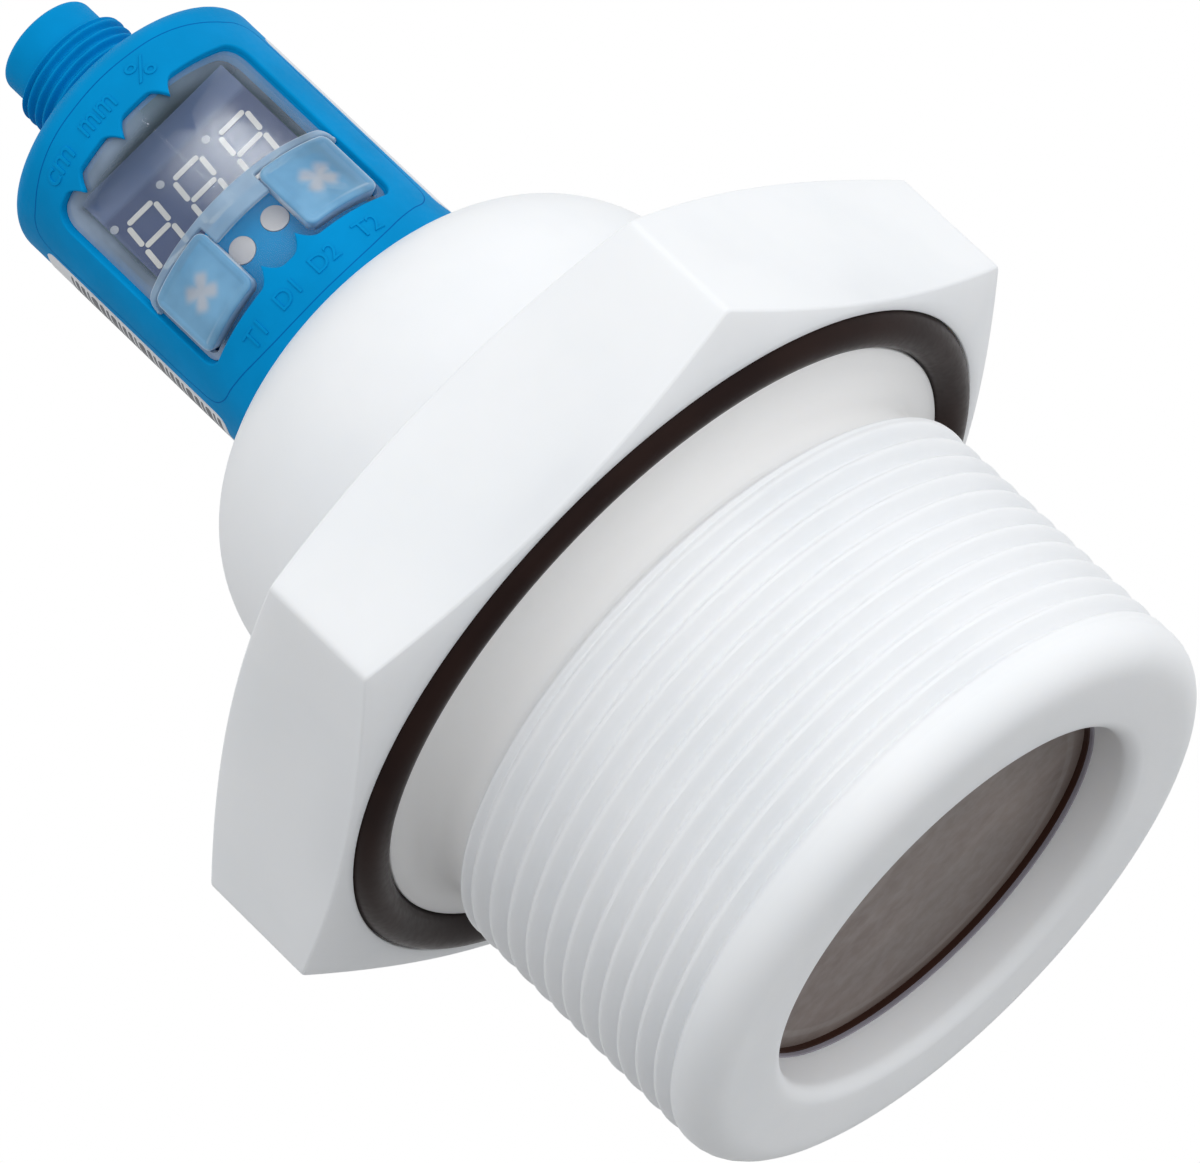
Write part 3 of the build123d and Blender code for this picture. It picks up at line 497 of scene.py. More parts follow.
def film():
    """Brown-grey film over the transducer, with soft wiped streaks."""
    made, n, shader = material("membrane_film")
    where, x, y, _ = n.place()
    grained(n, shader, where, (0.16, 0.119, 0.104), (0.21, 0.163, 0.142), 90.0, 700.0, 0.12, (0.34, 0.5))
    drawn = n.add("ShaderNodeMapping", {"Vector": where})
    drawn.inputs["Rotation"].default_value = (0, 0, math.radians(28))
    drawn.inputs["Scale"].default_value = (0.35, 1.6, 1.0)
    streak = n.smooth(n.noise(drawn.outputs[0], 150.0, 5.0), 0.38, 0.68)
    blotch = n.smooth(n.noise(where, 75.0, 2.0), 0.35, 0.65)
    base = shader.inputs["Base Color"].links[0].from_socket
    paint = n.mix(n.times(streak, 0.55), base, (0.265, 0.215, 0.19, 1))
    paint = n.mix(n.times(blotch, 0.4), paint, (0.115, 0.098, 0.09, 1))
    across = n.from_axis(x, y)
    ring = n.times(n.smooth(across, 0.0178, 0.0181), n.smooth(across, 0.0186, 0.0189, 1.0, 0.0))
    n.put(shader.inputs["Base Color"], n.mix(n.times(ring, 0.5), paint, (0.27, 0.235, 0.215, 1)))
    shader.inputs["Specular IOR Level"].default_value = 0.45
    return made


def plain(name, colour, gloss, metallic=0.0, specular=0.5, cloud=250.0, depth=0.08):
    """Moulded or coated surface with a slight mottle."""
    made, n, shader = material(name)
    where, _, _, _ = n.place()
    dark = [0.94 * c for c in colour]
    light = [min(1.0, 1.04 * c) for c in colour]
    grained(n, shader, where, dark, light, cloud, 1800.0, depth, (gloss - 0.04, gloss + 0.04))
    shader.inputs["Metallic"].default_value = metallic
    shader.inputs["Specular IOR Level"].default_value = specular
    return made


def display_face():
    """Slate face of the display, painted paler along its top as a painted reflection of the glare, with
    specks of dust.
    """
    made, n, shader = material("display_slate")
    where, _, _, z = n.place()
    dark, light = (0.045, 0.064, 0.150), (0.056, 0.078, 0.175)
    colour = grained(n, shader, where, dark, light, 150.0, 2500.0, 0.0, (0.04, 0.06))
    # painted reflection: a paler band along the top of the face carries on the glare where the mirrored card
    # fades out
    band = n.smooth(z, 0.0978, 0.0987)
    glare_painted_face = n.mix(band, colour, (0.11, 0.15, 0.27, 1))
    speck = n.smooth(n.noise(where, 2200.0, 1.0), 0.79, 0.82)
    n.put(shader.inputs["Base Color"], n.mix(speck, glare_painted_face, (0.5, 0.52, 0.55, 1)))
    return made


def clear(name, colour, milk, dense, rim, gloss):
    """Clear to milky moulding, whose milk takes its colour and whose rest lets the inside show; where it is
    seen at a slant it is painted paler, a painted sheen along its edges.
    """
    made, n, shader = material(name)
    where, _, _, _ = n.place()
    dark = [0.9 * c for c in colour]
    light = [min(1.0, 1.08 * c) for c in colour]
    grained(n, shader, where, dark, light, 120.0, 1500.0, 0.05, (gloss - 0.04, gloss + 0.04))
    group = n.add("ShaderNodeGroup", {"Vector": where, "Clear": milk, "Dense": dense}, node_tree=MILK)
    # milk thickens where the surface is seen at a slant; with the colour painted paler there, this gives a
    # painted sheen along the edges
    facing = n.add("ShaderNodeLayerWeight", {"Blend": 0.5}).outputs["Facing"]
    edge = n.times(n.smooth(facing, 0.35, 0.95), rim)
    whole = n.math("ADD", group.outputs["Milk"], edge, clamp=True)
    base = shader.inputs["Base Color"].links[0].from_socket
    # painted sheen: the colour turns paler where the surface is seen at a slant
    pale = n.smooth(facing, 0.3, 0.9, 0.0, 0.8)
    n.put(shader.inputs["Base Color"], n.mix(pale, base, (0.78, 0.86, 0.93, 1)))
    back = n.add("ShaderNodeNewGeometry").outputs["Backfacing"]
    n.put(shader.inputs["Alpha"], n.times(whole, n.minus(1.0, back)))
    return made, n, shader


# The four-lobed post seen through a key: its middle, and how far its lobes reach and spread
POST = {"across": 0.00718, "up": 0.0856, "reach": 0.0022, "spread": 0.0008, "blur": 0.0006}


def milky_key():
    """Milky key pad with the pale post that shines through its face."""
    made, n, shader = clear("milky_key", (0.165, 0.385, 0.60), 0.84, 0.0, 0.3, 0.2)
    _, x, _, z = n.place()
    across = n.minus(n.math("ABSOLUTE", x), POST["across"])
    up = n.minus(z, POST["up"])
    rising = n.math("ABSOLUTE", n.plus(across, up))
    falling = n.math("ABSOLUTE", n.minus(across, up))
    aside = n.math("MINIMUM", rising, falling)
    along = n.math("MAXIMUM", rising, falling)
    near = n.smooth(aside, POST["spread"] - POST["blur"], POST["spread"] + POST["blur"], 1.0, 0.0)
    far = n.smooth(along, POST["reach"] - POST["blur"], POST["reach"] + POST["blur"], 1.0, 0.0)
    lobes = n.times(near, far)
    base = shader.inputs["Base Color"].links[0].from_socket
    n.put(shader.inputs["Base Color"], n.mix(n.times(lobes, 0.8), base, (0.50, 0.51, 0.55, 1)))
    return made


# Plain materials: colour, gloss and what else differs from the usual
PLAIN = {
    "blue_plastic": ((0.0, 0.272, 0.61), 0.5, {"specular": 0.03, "cloud": 180.0}),
    # dark blue of the strip along the engraved line: painted shade for its groove
    "groove_shade_blue": ((0.0, 0.13, 0.42), 0.6, {"specular": 0.03}),
    # inner blue is the head's blue painted lighter, to lift the shade that falls on the parts inside the head
    "inner_blue_painted_lighter": ((0.0, 0.33, 0.70), 0.5, {"specular": 0.1}),
    "seal_lavender": ((0.27, 0.25, 0.29), 0.4, {"specular": 0.4}),
    "seal_dark": ((0.035, 0.013, 0.008), 0.45, {"specular": 0.1}),
    "cream_plastic": ((0.80, 0.76, 0.73), 0.5, {}),
    "segment_cream": ((0.66, 0.65, 0.61), 0.06, {"depth": 0.0}),
    "dim_point": ((0.40, 0.42, 0.46), 0.06, {"depth": 0.0}),
    "label_silver": ((0.80, 0.81, 0.83), 0.35, {"cloud": 400.0}),
    "label_ink": ((0.035, 0.04, 0.055), 0.4, {}),
    "black_plastic": ((0.02, 0.02, 0.022), 0.5, {}),
    "board_green": ((0.03, 0.16, 0.08), 0.4, {}),
    "contact_gold": ((0.8, 0.58, 0.25), 0.25, {"metallic": 1.0}),
    "epoxy_foam": ((0.7, 0.66, 0.55), 0.7, {}),
    "ceramic_grey": ((0.45, 0.42, 0.38), 0.5, {}),
    "foam_grey": ((0.25, 0.25, 0.25), 0.9, {}),
    "glass_bead": ((0.08, 0.08, 0.1), 0.2, {}),
    "lead_insulation": ((0.5, 0.03, 0.03), 0.4, {}),
    "potting_black": ((0.03, 0.03, 0.035), 0.35, {}),
}
M = {
    "pvdf_white": white_body(),
    "fkm_dark": dark_rubber(),
    "membrane_film": film(),
    "display_slate": display_face(),
    "clear_cover": clear("clear_cover", (0.30, 0.39, 0.52), 0.12, 0.62, 0.15, 0.08)[0],
    "milky_ledge": clear("milky_ledge", (0.28, 0.42, 0.57), 0.78, 0.0, 0.2, 0.14)[0],
    "milky_key": milky_key(),
}
for name, (colour, gloss, more) in PLAIN.items():
    M[name] = plain(name, colour, gloss, **more)

# CAD nodes keep their shapes and take these finishes
# the key carrier takes the blue painted lighter, as painted light against the shade inside the head
OWN_FINISH = {"key_carrier": "inner_blue_painted_lighter"}
for entry in frame["record"]["subparts"]:
    node = frame["nodes"][entry["node"]]
    finish = OWN_FINISH.get(entry["node"], entry["material_slot"])
    node.data.materials.clear()
    node.data.materials.append(M[finish])


# Body
def body_outline():
    """Whole outline of the white body: recess, lip, thread, neck, groove, hexagon and dome."""
    b = BODY
    slack = b["slack"]
    tan_chamfer = math.tan(b["hex_chamfer"])
    reach = HEX_REFERENCE
    low_edge = b["face_z"] + (reach - b["hex_chamfer_r"]) * tan_chamfer
    high_edge = b["hex_top"] - (reach - b["hex_chamfer_r"]) * tan_chamfer
    groove_out = b["seal_r"] + b["seal_section"] / 2 + slack
    groove_in = b["seal_r"] - b["seal_section"] / 2 - slack
    groove_z = b["seal_z"] + b["seal_section"] / 2 + slack
    rise = b["barrel_r"] + slack - (b["dome_r"] - b["dome_rounding"])
    edge_z = b["dome_z"] + math.sqrt(b["dome_rounding"] ** 2 - rise**2)
    dome = []
    steps = 24
    for k in range(1, steps + 1):
        a = math.acos(rise / b["dome_rounding"]) * k / steps
        r = b["dome_r"] - b["dome_rounding"] * (1 - math.cos(a))
        dome.append((r, b["dome_z"] + b["dome_rounding"] * math.sin(a), 0, 0))
    corners = [
        (b["recess_r"], b["recess_depth"] + 4, 0, 0),
        (b["recess_r"], 0, 1.4, 1.0),
        (b["lip_r"], 0, 3.3, 1.0),
        (b["lip_r"], b["thread_low"] + 0.05, 0, 0.2, 0, 0, 1),
        (b["lip_r"] - 0.1, b["thread_high"] + 0.1, 0.6, 0.15, 0, 0, 1),
        (b["neck_r"], b["thread_high"] + 1.0, 0.8, 0.3),
        (b["neck_r"], b["face_z"], 3.0, 1.0),
        (groove_in, b["face_z"], 0.15, 1.0),
        (groove_in, groove_z, 0.2, 1.0),
        (groove_out, groove_z, 0.2, 1.0),
        (groove_out, b["face_z"], 0.15, 1.0),
        (b["hex_chamfer_r"], b["face_z"], 0, 1.0, 0, 0),
        (reach, low_edge, 0.35, 1.0, 1, 1),
        (reach, high_edge, 0.35, 2.0, 1, -1),
        (b["hex_chamfer_r"], b["hex_top"], 0, 1.0, 0, 0),
        (b["dome_r"], b["hex_top"], 0.35, 3.0),
        (b["dome_r"], b["dome_z"], 0, 1.5),
        *dome,
        (b["barrel_r"] + slack, edge_z - b["barrel_deep"], 0, 2.0),
    ]
    return rounded_outline(corners)


body = turned(
    "body",
    body_outline(),
    M["pvdf_white"],
    Sections=264,
    Corner_Crowding=0.86,
    Across_Flats=BODY["hex_flats"] * MM,
    Corner_Rounding=BODY["hex_rounding"] * MM,
    Hexagon_Turn=BODY["hex_turn"],
    Chamfer_Slope=math.tan(BODY["hex_chamfer"]),
    Thread_Pitch=BODY["pitch"] * MM,
    Thread_Depth=BODY["depth"] * MM,
    Thread_Low=BODY["thread_low"] * MM,
    Thread_High=BODY["thread_high"] * MM,
)
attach(body, "sensor")
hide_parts("process_housing")


def ring_outline(radius, height, section, count=24):
    """Round section of a ring."""
    r = section / 2
    return [
        (np.array([radius + r * math.cos(a), height + r * math.sin(a)]), np.zeros(3))
        for a in (TAU * k / count for k in range(count))
    ]


seal = turned(
    "seal_ring",
    ring_outline(BODY["seal_r"], BODY["seal_z"], BODY["seal_section"]),
    M["fkm_dark"],
    Sections=180,
)
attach(seal, "sensor")
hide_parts("flange_o_ring")


# Rings round the membrane, in millimetres: how high they stand above it and off the wall
RINGS = {"in_wall": 0.3, "proud": 0.25, "edge_back": 0.1, "behind": 0.6, "band": 0.58, "edge": 1.0}


def membrane_rings():
    """Dark band and lavender edge on the wall of the recess, round the membrane."""
    wall = BODY["recess_r"] + RINGS["in_wall"]
    inner = BODY["recess_r"] - RINGS["proud"]
    thin = inner + RINGS["edge_back"]
    end = BODY["recess_depth"] + RINGS["behind"]
    top = BODY["recess_depth"] - RINGS["band"]
    rim = BODY["recess_depth"] - RINGS["edge"]
    below = top - 0.01
    band = [(inner, top, 0.1), (wall, top, 0), (wall, end, 0), (inner, end, 0)]
    edge = [(thin, rim, 0.12), (wall, rim, 0), (wall, below, 0), (thin, below, 0)]
    rings = []
    for name, section, paint in (
        ("membrane_band", band, "seal_dark"),
        ("membrane_edge", edge, "seal_lavender"),
    ):
        outline = rounded_outline([corner + (0,) for corner in section], arc_steps=4)
        rings.append(turned(name, outline, M[paint], Sections=160))
    return rings


for ring in membrane_rings():
    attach(ring, "sensor")
    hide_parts("membrane_seal")


# Sizes of the head, in millimetres
HEAD = {
    "barrel_r": 13.8,
    "skin": 0.65,
    "skin_edge": 0.18,
    "barrel_inner_r": 11.9,
    "wall_edge": 0.05,
    "wall_lap": 0.1,
    "barrel_low": 62.5,
    "crown_low": 105.6,
    "shoulder_z": 106.3,
    "crown_rise": 3.75,
    "crown_flat_r": 4.1,
    "nose_r": 5.95,
    "nose_top": 115.5,
    "collar_r": 5.0,
    "collar_top": 119.2,
    "bore_r": 4.25,
    "bore_low": 106.6,
    "nose_pitch": 1.0,
    "nose_depth": 0.6,
    "window_low": 81.1,
    "window_high": 102.15,
    "window_half": 54.0,
    "window_corner": 1.9,
    "cusp_half": 1.7,
    "cusp_depth": 1.6,
    "cover_r": 13.1,
    "cover_thick": 0.65,
    "cover_edge": 0.1,
    "cover_room": 0.05,
    "key_room": 0.12,
    "ledge_r": 13.65,
    "ledge_thick": 0.7,
    "ledge_edge": 0.22,
    "ledge_low": 87.4,
    "ledge_high": 90.3,
    "key_r": 14.0,
    "key_thick": 1.5,
    "key_edge": 0.3,
    "key_dip": 0.1,
    "key_slide": 0.36,
    "key_from": 14.5,
    "key_to": 49.0,
    "key_low": 82.0,
    "key_high": 89.35,
    "key_corner": 0.9,
}
STEP = math.radians(2)


def arc(degrees_round):
    """Length on the barrel for an angle from the front."""
    return math.radians(degrees_round) * HEAD["barrel_r"]


def rounded_path(corners, steps=6):
    """Closed flat outline from corners given as (across, up, rounding)."""
    return [tuple(p) for p, _ in rounded_outline(corners, arc_steps=steps)]


def window_path(cusps_above=(), cusps_below=(), inset=0.0):
    """Outline of the window on the unrolled barrel, with a thorn at every given place."""
    h = HEAD
    side = arc(h["window_half"]) - inset
    low = h["window_low"] + inset
    high = h["window_high"] - inset
    half = h["cusp_half"]

    def thorn(x, edge, way):
        ahead = -way
        points = []
        for k in range(17):
            share = abs(k - 8) / 8
            points.append((x + ahead * half * (k - 8) / 8, edge + way * h["cusp_depth"] * (1 - share) ** 2.2))
        return points

    corner = h["window_corner"]
    base = rounded_path(
        [(-side, high, corner), (side, high, corner), (side, low, corner * 0.8), (-side, low, corner * 0.8)]
    )
    path = []
    for i, point in enumerate(base):
        path.append(point)
        following = base[(i + 1) % len(base)]
        if point[1] == following[1] == high:
            for x in sorted(cusps_above):
                path += thorn(x, high, -1)
        if abs(point[1] - low) < 1e-6 and abs(following[1] - low) < 1e-6:
            for x in sorted(cusps_below, reverse=True):
                path += thorn(x, low, 1)
    return path


def normals_of_plate(mesh):
    """Flat faces keep square normals, and only the rounded edges are smooth."""
    shape = bmesh.new()
    shape.from_mesh(mesh)
    shape.normal_update()
    normals = []
    for vert in shape.verts:
        flat = [f.normal for f in vert.link_faces if abs(f.normal.z) > 0.999]
        normals.append(flat[0].copy() if flat else vert.normal.copy())
    shape.free()
    return normals


def bend(mesh, radius, normals=None):
    """Wraps a flat mesh (across, up, out) round the barrel; out is added to the radius."""
    turned_normals = []
    for i, vert in enumerate(mesh.vertices):
        x, y, z = vert.co
        a = x / HEAD["barrel_r"]
        r = radius + z
        vert.co = (r * math.sin(a) * MM, -r * math.cos(a) * MM, y * MM)
        if normals:
            n = normals[i]
            turned_normals.append(
                (n.x * math.cos(a) + n.z * math.sin(a), n.x * math.sin(a) - n.z * math.cos(a), n.y)
            )
    mesh.update()
    for face in mesh.polygons:
        face.use_smooth = True
    if normals:
        mesh.normals_split_custom_set_from_vertices(turned_normals)


def slice_across(mesh, step):
    """Cuts a flat mesh into strips so that it bends smoothly."""
    shape = bmesh.new()
    shape.from_mesh(mesh)
    bmesh.ops.remove_doubles(shape, verts=shape.verts, dist=1e-5)
    low = min(v.co.x for v in shape.verts)
    high = max(v.co.x for v in shape.verts)
    for k in range(math.ceil(low / step), math.floor(high / step) + 1):
        every = shape.verts[:] + shape.edges[:] + shape.faces[:]
        bmesh.ops.bisect_plane(shape, geom=every, plane_co=(k * step, 0, 0), plane_no=(1, 0, 0), dist=1e-5)
    shape.to_mesh(mesh)
    shape.free()


def link(name, mesh, paint):
    """New piece with one material."""
    mesh.materials.clear()
    mesh.materials.append(paint)
    return add_object(name, mesh)


def flat_mesh(name, data):
    """Mesh of a flat curve or text object, which is removed again."""
    source = add_object(name, data)
    mesh = final_mesh(source)
    bpy.data.objects.remove(source)
    return mesh


def plate(name, paths, outer_r, thickness, edge, paint):
    """Plate with rounded edges and holes, bent round the barrel."""
    data = bpy.data.curves.new(name, "CURVE")
    data.dimensions = "2D"
    data.fill_mode = "BOTH"
    data.extrude = thickness / 2 - edge
    data.bevel_depth = edge
    data.bevel_resolution = 3
    data.offset = -edge
    for path in paths:
        spline = data.splines.new("POLY")
        spline.points.add(len(path) - 1)
        for point, (x, y) in zip(spline.points, path):
            point.co = (x, y, 0, 1)
        spline.use_cyclic_u = True
    mesh = flat_mesh(name, data)
    slice_across(mesh, HEAD["barrel_r"] * STEP)
    normals = normals_of_plate(mesh)
    bend(mesh, outer_r - thickness / 2, normals)
    return link(name, mesh, paint)


# Raised marks, in millimetres: type size, how far they stand out, their edges and the strips for bending
MARK = {"letter": 2.5, "rise": 0.09, "edge": 0.04, "offset": -0.03, "strip": 0.25}


def lettering(name, text, across, up, width, height, outer_r, paint):
    """Raised mark on the barrel that fills a box of the given size."""
    data = bpy.data.curves.new(name, "FONT")
    data.body = text
    data.size = MARK["letter"]
    data.extrude = MARK["rise"]
    data.bevel_depth = MARK["edge"]
    data.bevel_resolution = 1
    data.offset = MARK["offset"]
    mesh = flat_mesh(name, data)
    low = [min(v.co[i] for v in mesh.vertices) for i in (0, 1)]
    high = [max(v.co[i] for v in mesh.vertices) for i in (0, 1)]
    mesh.transform(Matrix.Translation((-(low[0] + high[0]) / 2, -(low[1] + high[1]) / 2, 0)))
    mesh.transform(Matrix.Diagonal((width / (high[0] - low[0]), height / (high[1] - low[1]), 1, 1)))
    mesh.transform(Matrix.Translation((across, up, 0)))
    slice_across(mesh, MARK["strip"])
    normals = normals_of_plate(mesh)
    bend(mesh, outer_r, normals)
    return link(name, mesh, paint)


def loop(low_x, high_x, low_z, high_z, corner, inset, steps=6):
    """Rounded rectangle drawn in from its edge, always with the same number of points."""
    low_x, low_z, high_x, high_z = low_x + inset, low_z + inset, high_x - inset, high_z - inset
    corner = max(corner - inset, 0.02)
    points = []
    spans = (
        (high_x - corner, high_z - corner, 0),
        (low_x + corner, high_z - corner, 90),
        (low_x + corner, low_z + corner, 180),
        (high_x - corner, low_z + corner, 270),
    )
    for x, z, start in spans:
        arc_points = []
        for k in range(steps + 1):
            a = math.radians(start + 90 * k / steps)
            arc_points.append((x + corner * math.cos(a), z + corner * math.sin(a)))
        if points:
            points += between(points[-1], arc_points[0])
        points += arc_points
    return points + between(points[-1], points[0])


def between(first, last, cuts=10):
    """Points that divide a straight run."""
    return [
        (first[0] + (last[0] - first[0]) * k / cuts, first[1] + (last[1] - first[1]) * k / cuts)
        for k in range(1, cuts)
    ]


def pad(name, low_x, high_x, low_z, high_z, corner, profile, paint):
    """Pad built from rounded rectangles, each given as (inset, radius)."""
    rings = []
    for inset, r in profile:
        rings.append([(x, z, r) for x, z in loop(low_x, high_x, low_z, high_z, corner, inset)])
    count = len(rings[0])
    verts = [p for ring in rings for p in ring]
    faces = []
    for k in range(len(rings) - 1):
        for i in range(count):
            j = (i + 1) % count
            faces.append((k * count + i, k * count + j, (k + 1) * count + j, (k + 1) * count + i))
    faces.append(tuple(range(count))[::-1])
    faces.append(tuple((len(rings) - 1) * count + i for i in range(count)))
    mesh = bpy.data.meshes.new(name)
    mesh.from_pydata(verts, [], faces)
    bend(mesh, 0)
    shape = bmesh.new()
    shape.from_mesh(mesh)
    bmesh.ops.recalc_face_normals(shape, faces=shape.faces)
    shape.to_mesh(mesh)
    shape.free()
    return link(name, mesh, paint)


def crown_outline():
    """Shoulder, threaded nose, collar and bore of the connector."""
    h = HEAD
    width = h["barrel_r"] - h["crown_flat_r"]
    shoulder = []
    for k in range(0, 25):
        a = math.radians(90 * k / 24)
        r = h["crown_flat_r"] + width * math.cos(a)
        if r > h["nose_r"] + 0.4:
            shoulder.append((r + 0.004, h["shoulder_z"] + h["crown_rise"] * math.sin(a), 0, 0))
    foot = h["shoulder_z"] + h["crown_rise"] - 0.1
    corners = [
        (h["bore_r"], h["bore_low"], 0, 0),
        (h["barrel_inner_r"], h["bore_low"], 0, 0),
        (h["barrel_inner_r"], h["crown_low"], 0, 0),
        (h["barrel_r"] + 0.004, h["crown_low"], 0, 0),
        *shoulder,
        (h["nose_r"], foot, 0.3, 0.2),
        (h["nose_r"], foot + 0.5, 0, 0.1, 0, 0, 1),
        (h["nose_r"], h["nose_top"], 0.25, 0.08, 0, 0, 1),
        (h["collar_r"], h["nose_top"], 0.1, 0.3),
        (h["collar_r"], h["collar_top"], 0.7, 0.5),
        (h["bore_r"], h["collar_top"], 0.25, 0.3),
    ]
    return rounded_outline(corners)


SHELL = []
SHELL.append(
    turned(
        "crown_and_nose",
        crown_outline(),
        M["blue_plastic"],
        Sections=160,
        Thread_Pitch=HEAD["nose_pitch"] * MM,
        Thread_Depth=HEAD["nose_depth"] * MM,
        Thread_Low=(HEAD["shoulder_z"] + HEAD["crown_rise"]) * MM,
        Thread_High=(HEAD["nose_top"] - 0.1) * MM,
    )
)
TOP_CUSPS = (-8.5, -2.3, 3.4)
LOW_CUSPS = (-2.07, 2.07)
around = arc(180.5)
wall_r = HEAD["barrel_r"] - HEAD["skin"] + HEAD["wall_lap"]
barrel_path = [
    (-around, HEAD["barrel_low"]),
    (around, HEAD["barrel_low"]),
    (around, HEAD["shoulder_z"]),
    (-around, HEAD["shoulder_z"]),
]
SHELL.append(
    plate(
        "barrel_skin",
        [barrel_path, window_path(TOP_CUSPS, LOW_CUSPS)],
        HEAD["barrel_r"],
        HEAD["skin"],
        HEAD["skin_edge"],
        M["blue_plastic"],
    )
)
SHELL.append(
    plate(
        "barrel_wall",
        [barrel_path, window_path()],
        wall_r,
        wall_r - HEAD["barrel_inner_r"],
        HEAD["wall_edge"],
        M["blue_plastic"],
    )
)
# Each mark with its text, its place (across, up), its width and its height
MARKS = (
    ("cm", "cm", -8.25, 103.95, 3.9, 1.5),
    ("mm", "mm", -2.4, 103.95, 4.0, 1.5),
    ("percent", "%", 3.2, 104.25, 2.5, 2.2),
    ("t1", "T1", -7.0, 78.95, 2.3, 1.75),
    ("d1", "D1", -2.3, 78.95, 2.4, 1.75),
    ("d2", "D2", 2.3, 78.95, 2.75, 1.75),
    ("t2", "T2", 7.3, 78.95, 2.65, 1.75),
)
for name, text, *box in MARKS:
    SHELL.append(lettering("mark_" + name, text, *box, HEAD["barrel_r"], M["blue_plastic"]))


# Half of the line engraved round the front panel, as (degrees from the front, height)
PANEL_LINE = (
    (0, 106.15), (14, 106.08), (26, 105.98), (38, 105.65), (48, 105.2),
    (57, 104.75), (66, 104.35), (71, 103.6), (73, 102.2), (73, 96.0),
    (72, 88.0), (71, 82.5), (69.5, 80.6), (64, 79.4), (54, 78.75),
    (45, 78.2), (34, 77.5), (20, 76.9), (0, 76.65),
)


def panel_line(half_width):
    """Closed outlines on both sides of the engraved line."""
    right = [(arc(a), z) for a, z in PANEL_LINE]
    around_it = right + [(-x, z) for x, z in right[-2:0:-1]]
    curve = bpy.data.curves.new("panel_line", "CURVE")
    spline = curve.splines.new("BEZIER")
    spline.bezier_points.add(len(around_it) - 1)
    for point, (x, z) in zip(spline.bezier_points, around_it):
        point.co = (x, z, 0)
        point.handle_left_type = point.handle_right_type = "AUTO"
    spline.use_cyclic_u = True
    spline.resolution_u = 8
    mesh = flat_mesh("panel_line", curve)
    points = [Vector(v.co[:2]) for v in mesh.vertices]
    bpy.data.meshes.remove(mesh)
    outer, inner = [], []
    for i, here in enumerate(points):
        along = (points[(i + 1) % len(points)] - points[i - 1]).normalized()
        side = Vector((-along.y, along.x)) * half_width
        outer.append(tuple(here + side))
        inner.append(tuple(here - side))
    return [outer, inner]


# The engraved groove is not cut: a thin dark strip standing just proud of the barrel stands for it, painted
# shade where the groove's shadow falls
LINE = {"half_width": 0.05, "proud": 0.012, "thick": 0.1, "edge": 0.005}
line_r = HEAD["barrel_r"] + LINE["proud"]
line_paths = panel_line(LINE["half_width"])
SHELL.append(plate("groove_painted_shade", line_paths, line_r, LINE["thick"], LINE["edge"], M["groove_shade_blue"]))
for piece in SHELL:
    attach(piece, "sensor")
    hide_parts("head_shell")


# Window cover with its ledge
def key_hole(sign):
    """Outline of the hole for a key on the unrolled barrel, wider where the pressed key slides round."""
    room = HEAD["key_room"]
    near = arc(HEAD["key_from"]) - room
    far = arc(HEAD["key_to"]) + room + HEAD["key_slide"]
    low, high = sorted((sign * near, sign * far))
    bottom = HEAD["key_low"] - room
    top = HEAD["key_high"] + room
    corners = ((low, top), (high, top), (high, bottom), (low, bottom))
    return rounded_path([corner + (HEAD["key_corner"],) for corner in corners])


cover_paths = [window_path(inset=HEAD["cover_room"]), key_hole(-1), key_hole(1)]
cover = plate(
    "window_cover",
    cover_paths,
    HEAD["cover_r"],
    HEAD["cover_thick"],
    HEAD["cover_edge"],
    M["clear_cover"],
)


def ledge_path():
    """Outline of the ledge: it reaches down between the keys and a little round their outer ends."""
    side = arc(HEAD["window_half"] - 0.5)
    inner = arc(HEAD["key_from"] - 0.4)
    top = HEAD["ledge_high"]
    over_key = HEAD["key_high"] + 0.15
    outer_foot = HEAD["key_high"] - 1.2
    right = [(side, top, 1.3), (side, outer_foot, 0.1), (side - 0.6, over_key, 0.8)]
    right += [(inner, over_key, 0.2), (inner, HEAD["ledge_low"], 0.2)]
    left = [(-x, z, rounding) for x, z, rounding in right[:0:-1]]
    return rounded_path([(-side, top, 1.3), *right, *left])


ledge = plate(
    "cover_ledge",
    [ledge_path()],
    HEAD["ledge_r"],
    HEAD["ledge_thick"],
    HEAD["ledge_edge"],
    M["milky_ledge"],
)
for piece in (cover, ledge):
    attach(piece, "sensor")
    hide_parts("display_cover")


# Upper edge of the key carrier, seen behind the ledge
BROW = {"half": 62.0, "low": 88.2, "high": 90.0, "radius": 10.95, "thick": 1.1, "edge": 0.15}
brow_x = arc(BROW["half"])
brow_path = rounded_path(
    [
        (-brow_x, BROW["high"], 0.3),
        (brow_x, BROW["high"], 0.3),
        (brow_x, BROW["low"], 0.2),
        (-brow_x, BROW["low"], 0.2),
    ]
)
# in the blue painted lighter against the shade inside the head
brow = plate("carrier_brow", [brow_path], BROW["radius"], BROW["thick"], BROW["edge"], M["inner_blue_painted_lighter"])
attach(brow, "sensor")


def key_profile():
    """Insets and radii of a key from the middle of its back to the middle of its face."""
    top = HEAD["key_r"]
    back = top - HEAD["key_thick"]
    edge = HEAD["key_edge"]
    rows = [(inset, back) for inset in (2.8, 2.0, 1.2, 0.5, 0.1)]
    rows += [(0.0, back + 0.1), (0.0, top - 2 * edge), (0.0, top - edge)]
    for k in range(1, 7):
        a = math.radians(15 * k)
        rows.append((edge * (1 - math.cos(a)), top - edge * (1 - math.sin(a))))
    rows += [(0.42, top), (0.5, top)]
    for k in range(1, 9):
        share = k / 8
        rows.append((0.5 + 0.45 * share, top - HEAD["key_dip"] * smooth_step(share)))
    rows += [(inset, top - HEAD["key_dip"]) for inset in (1.2, 1.6, 2.0, 2.5, 3.0)]
    return rows


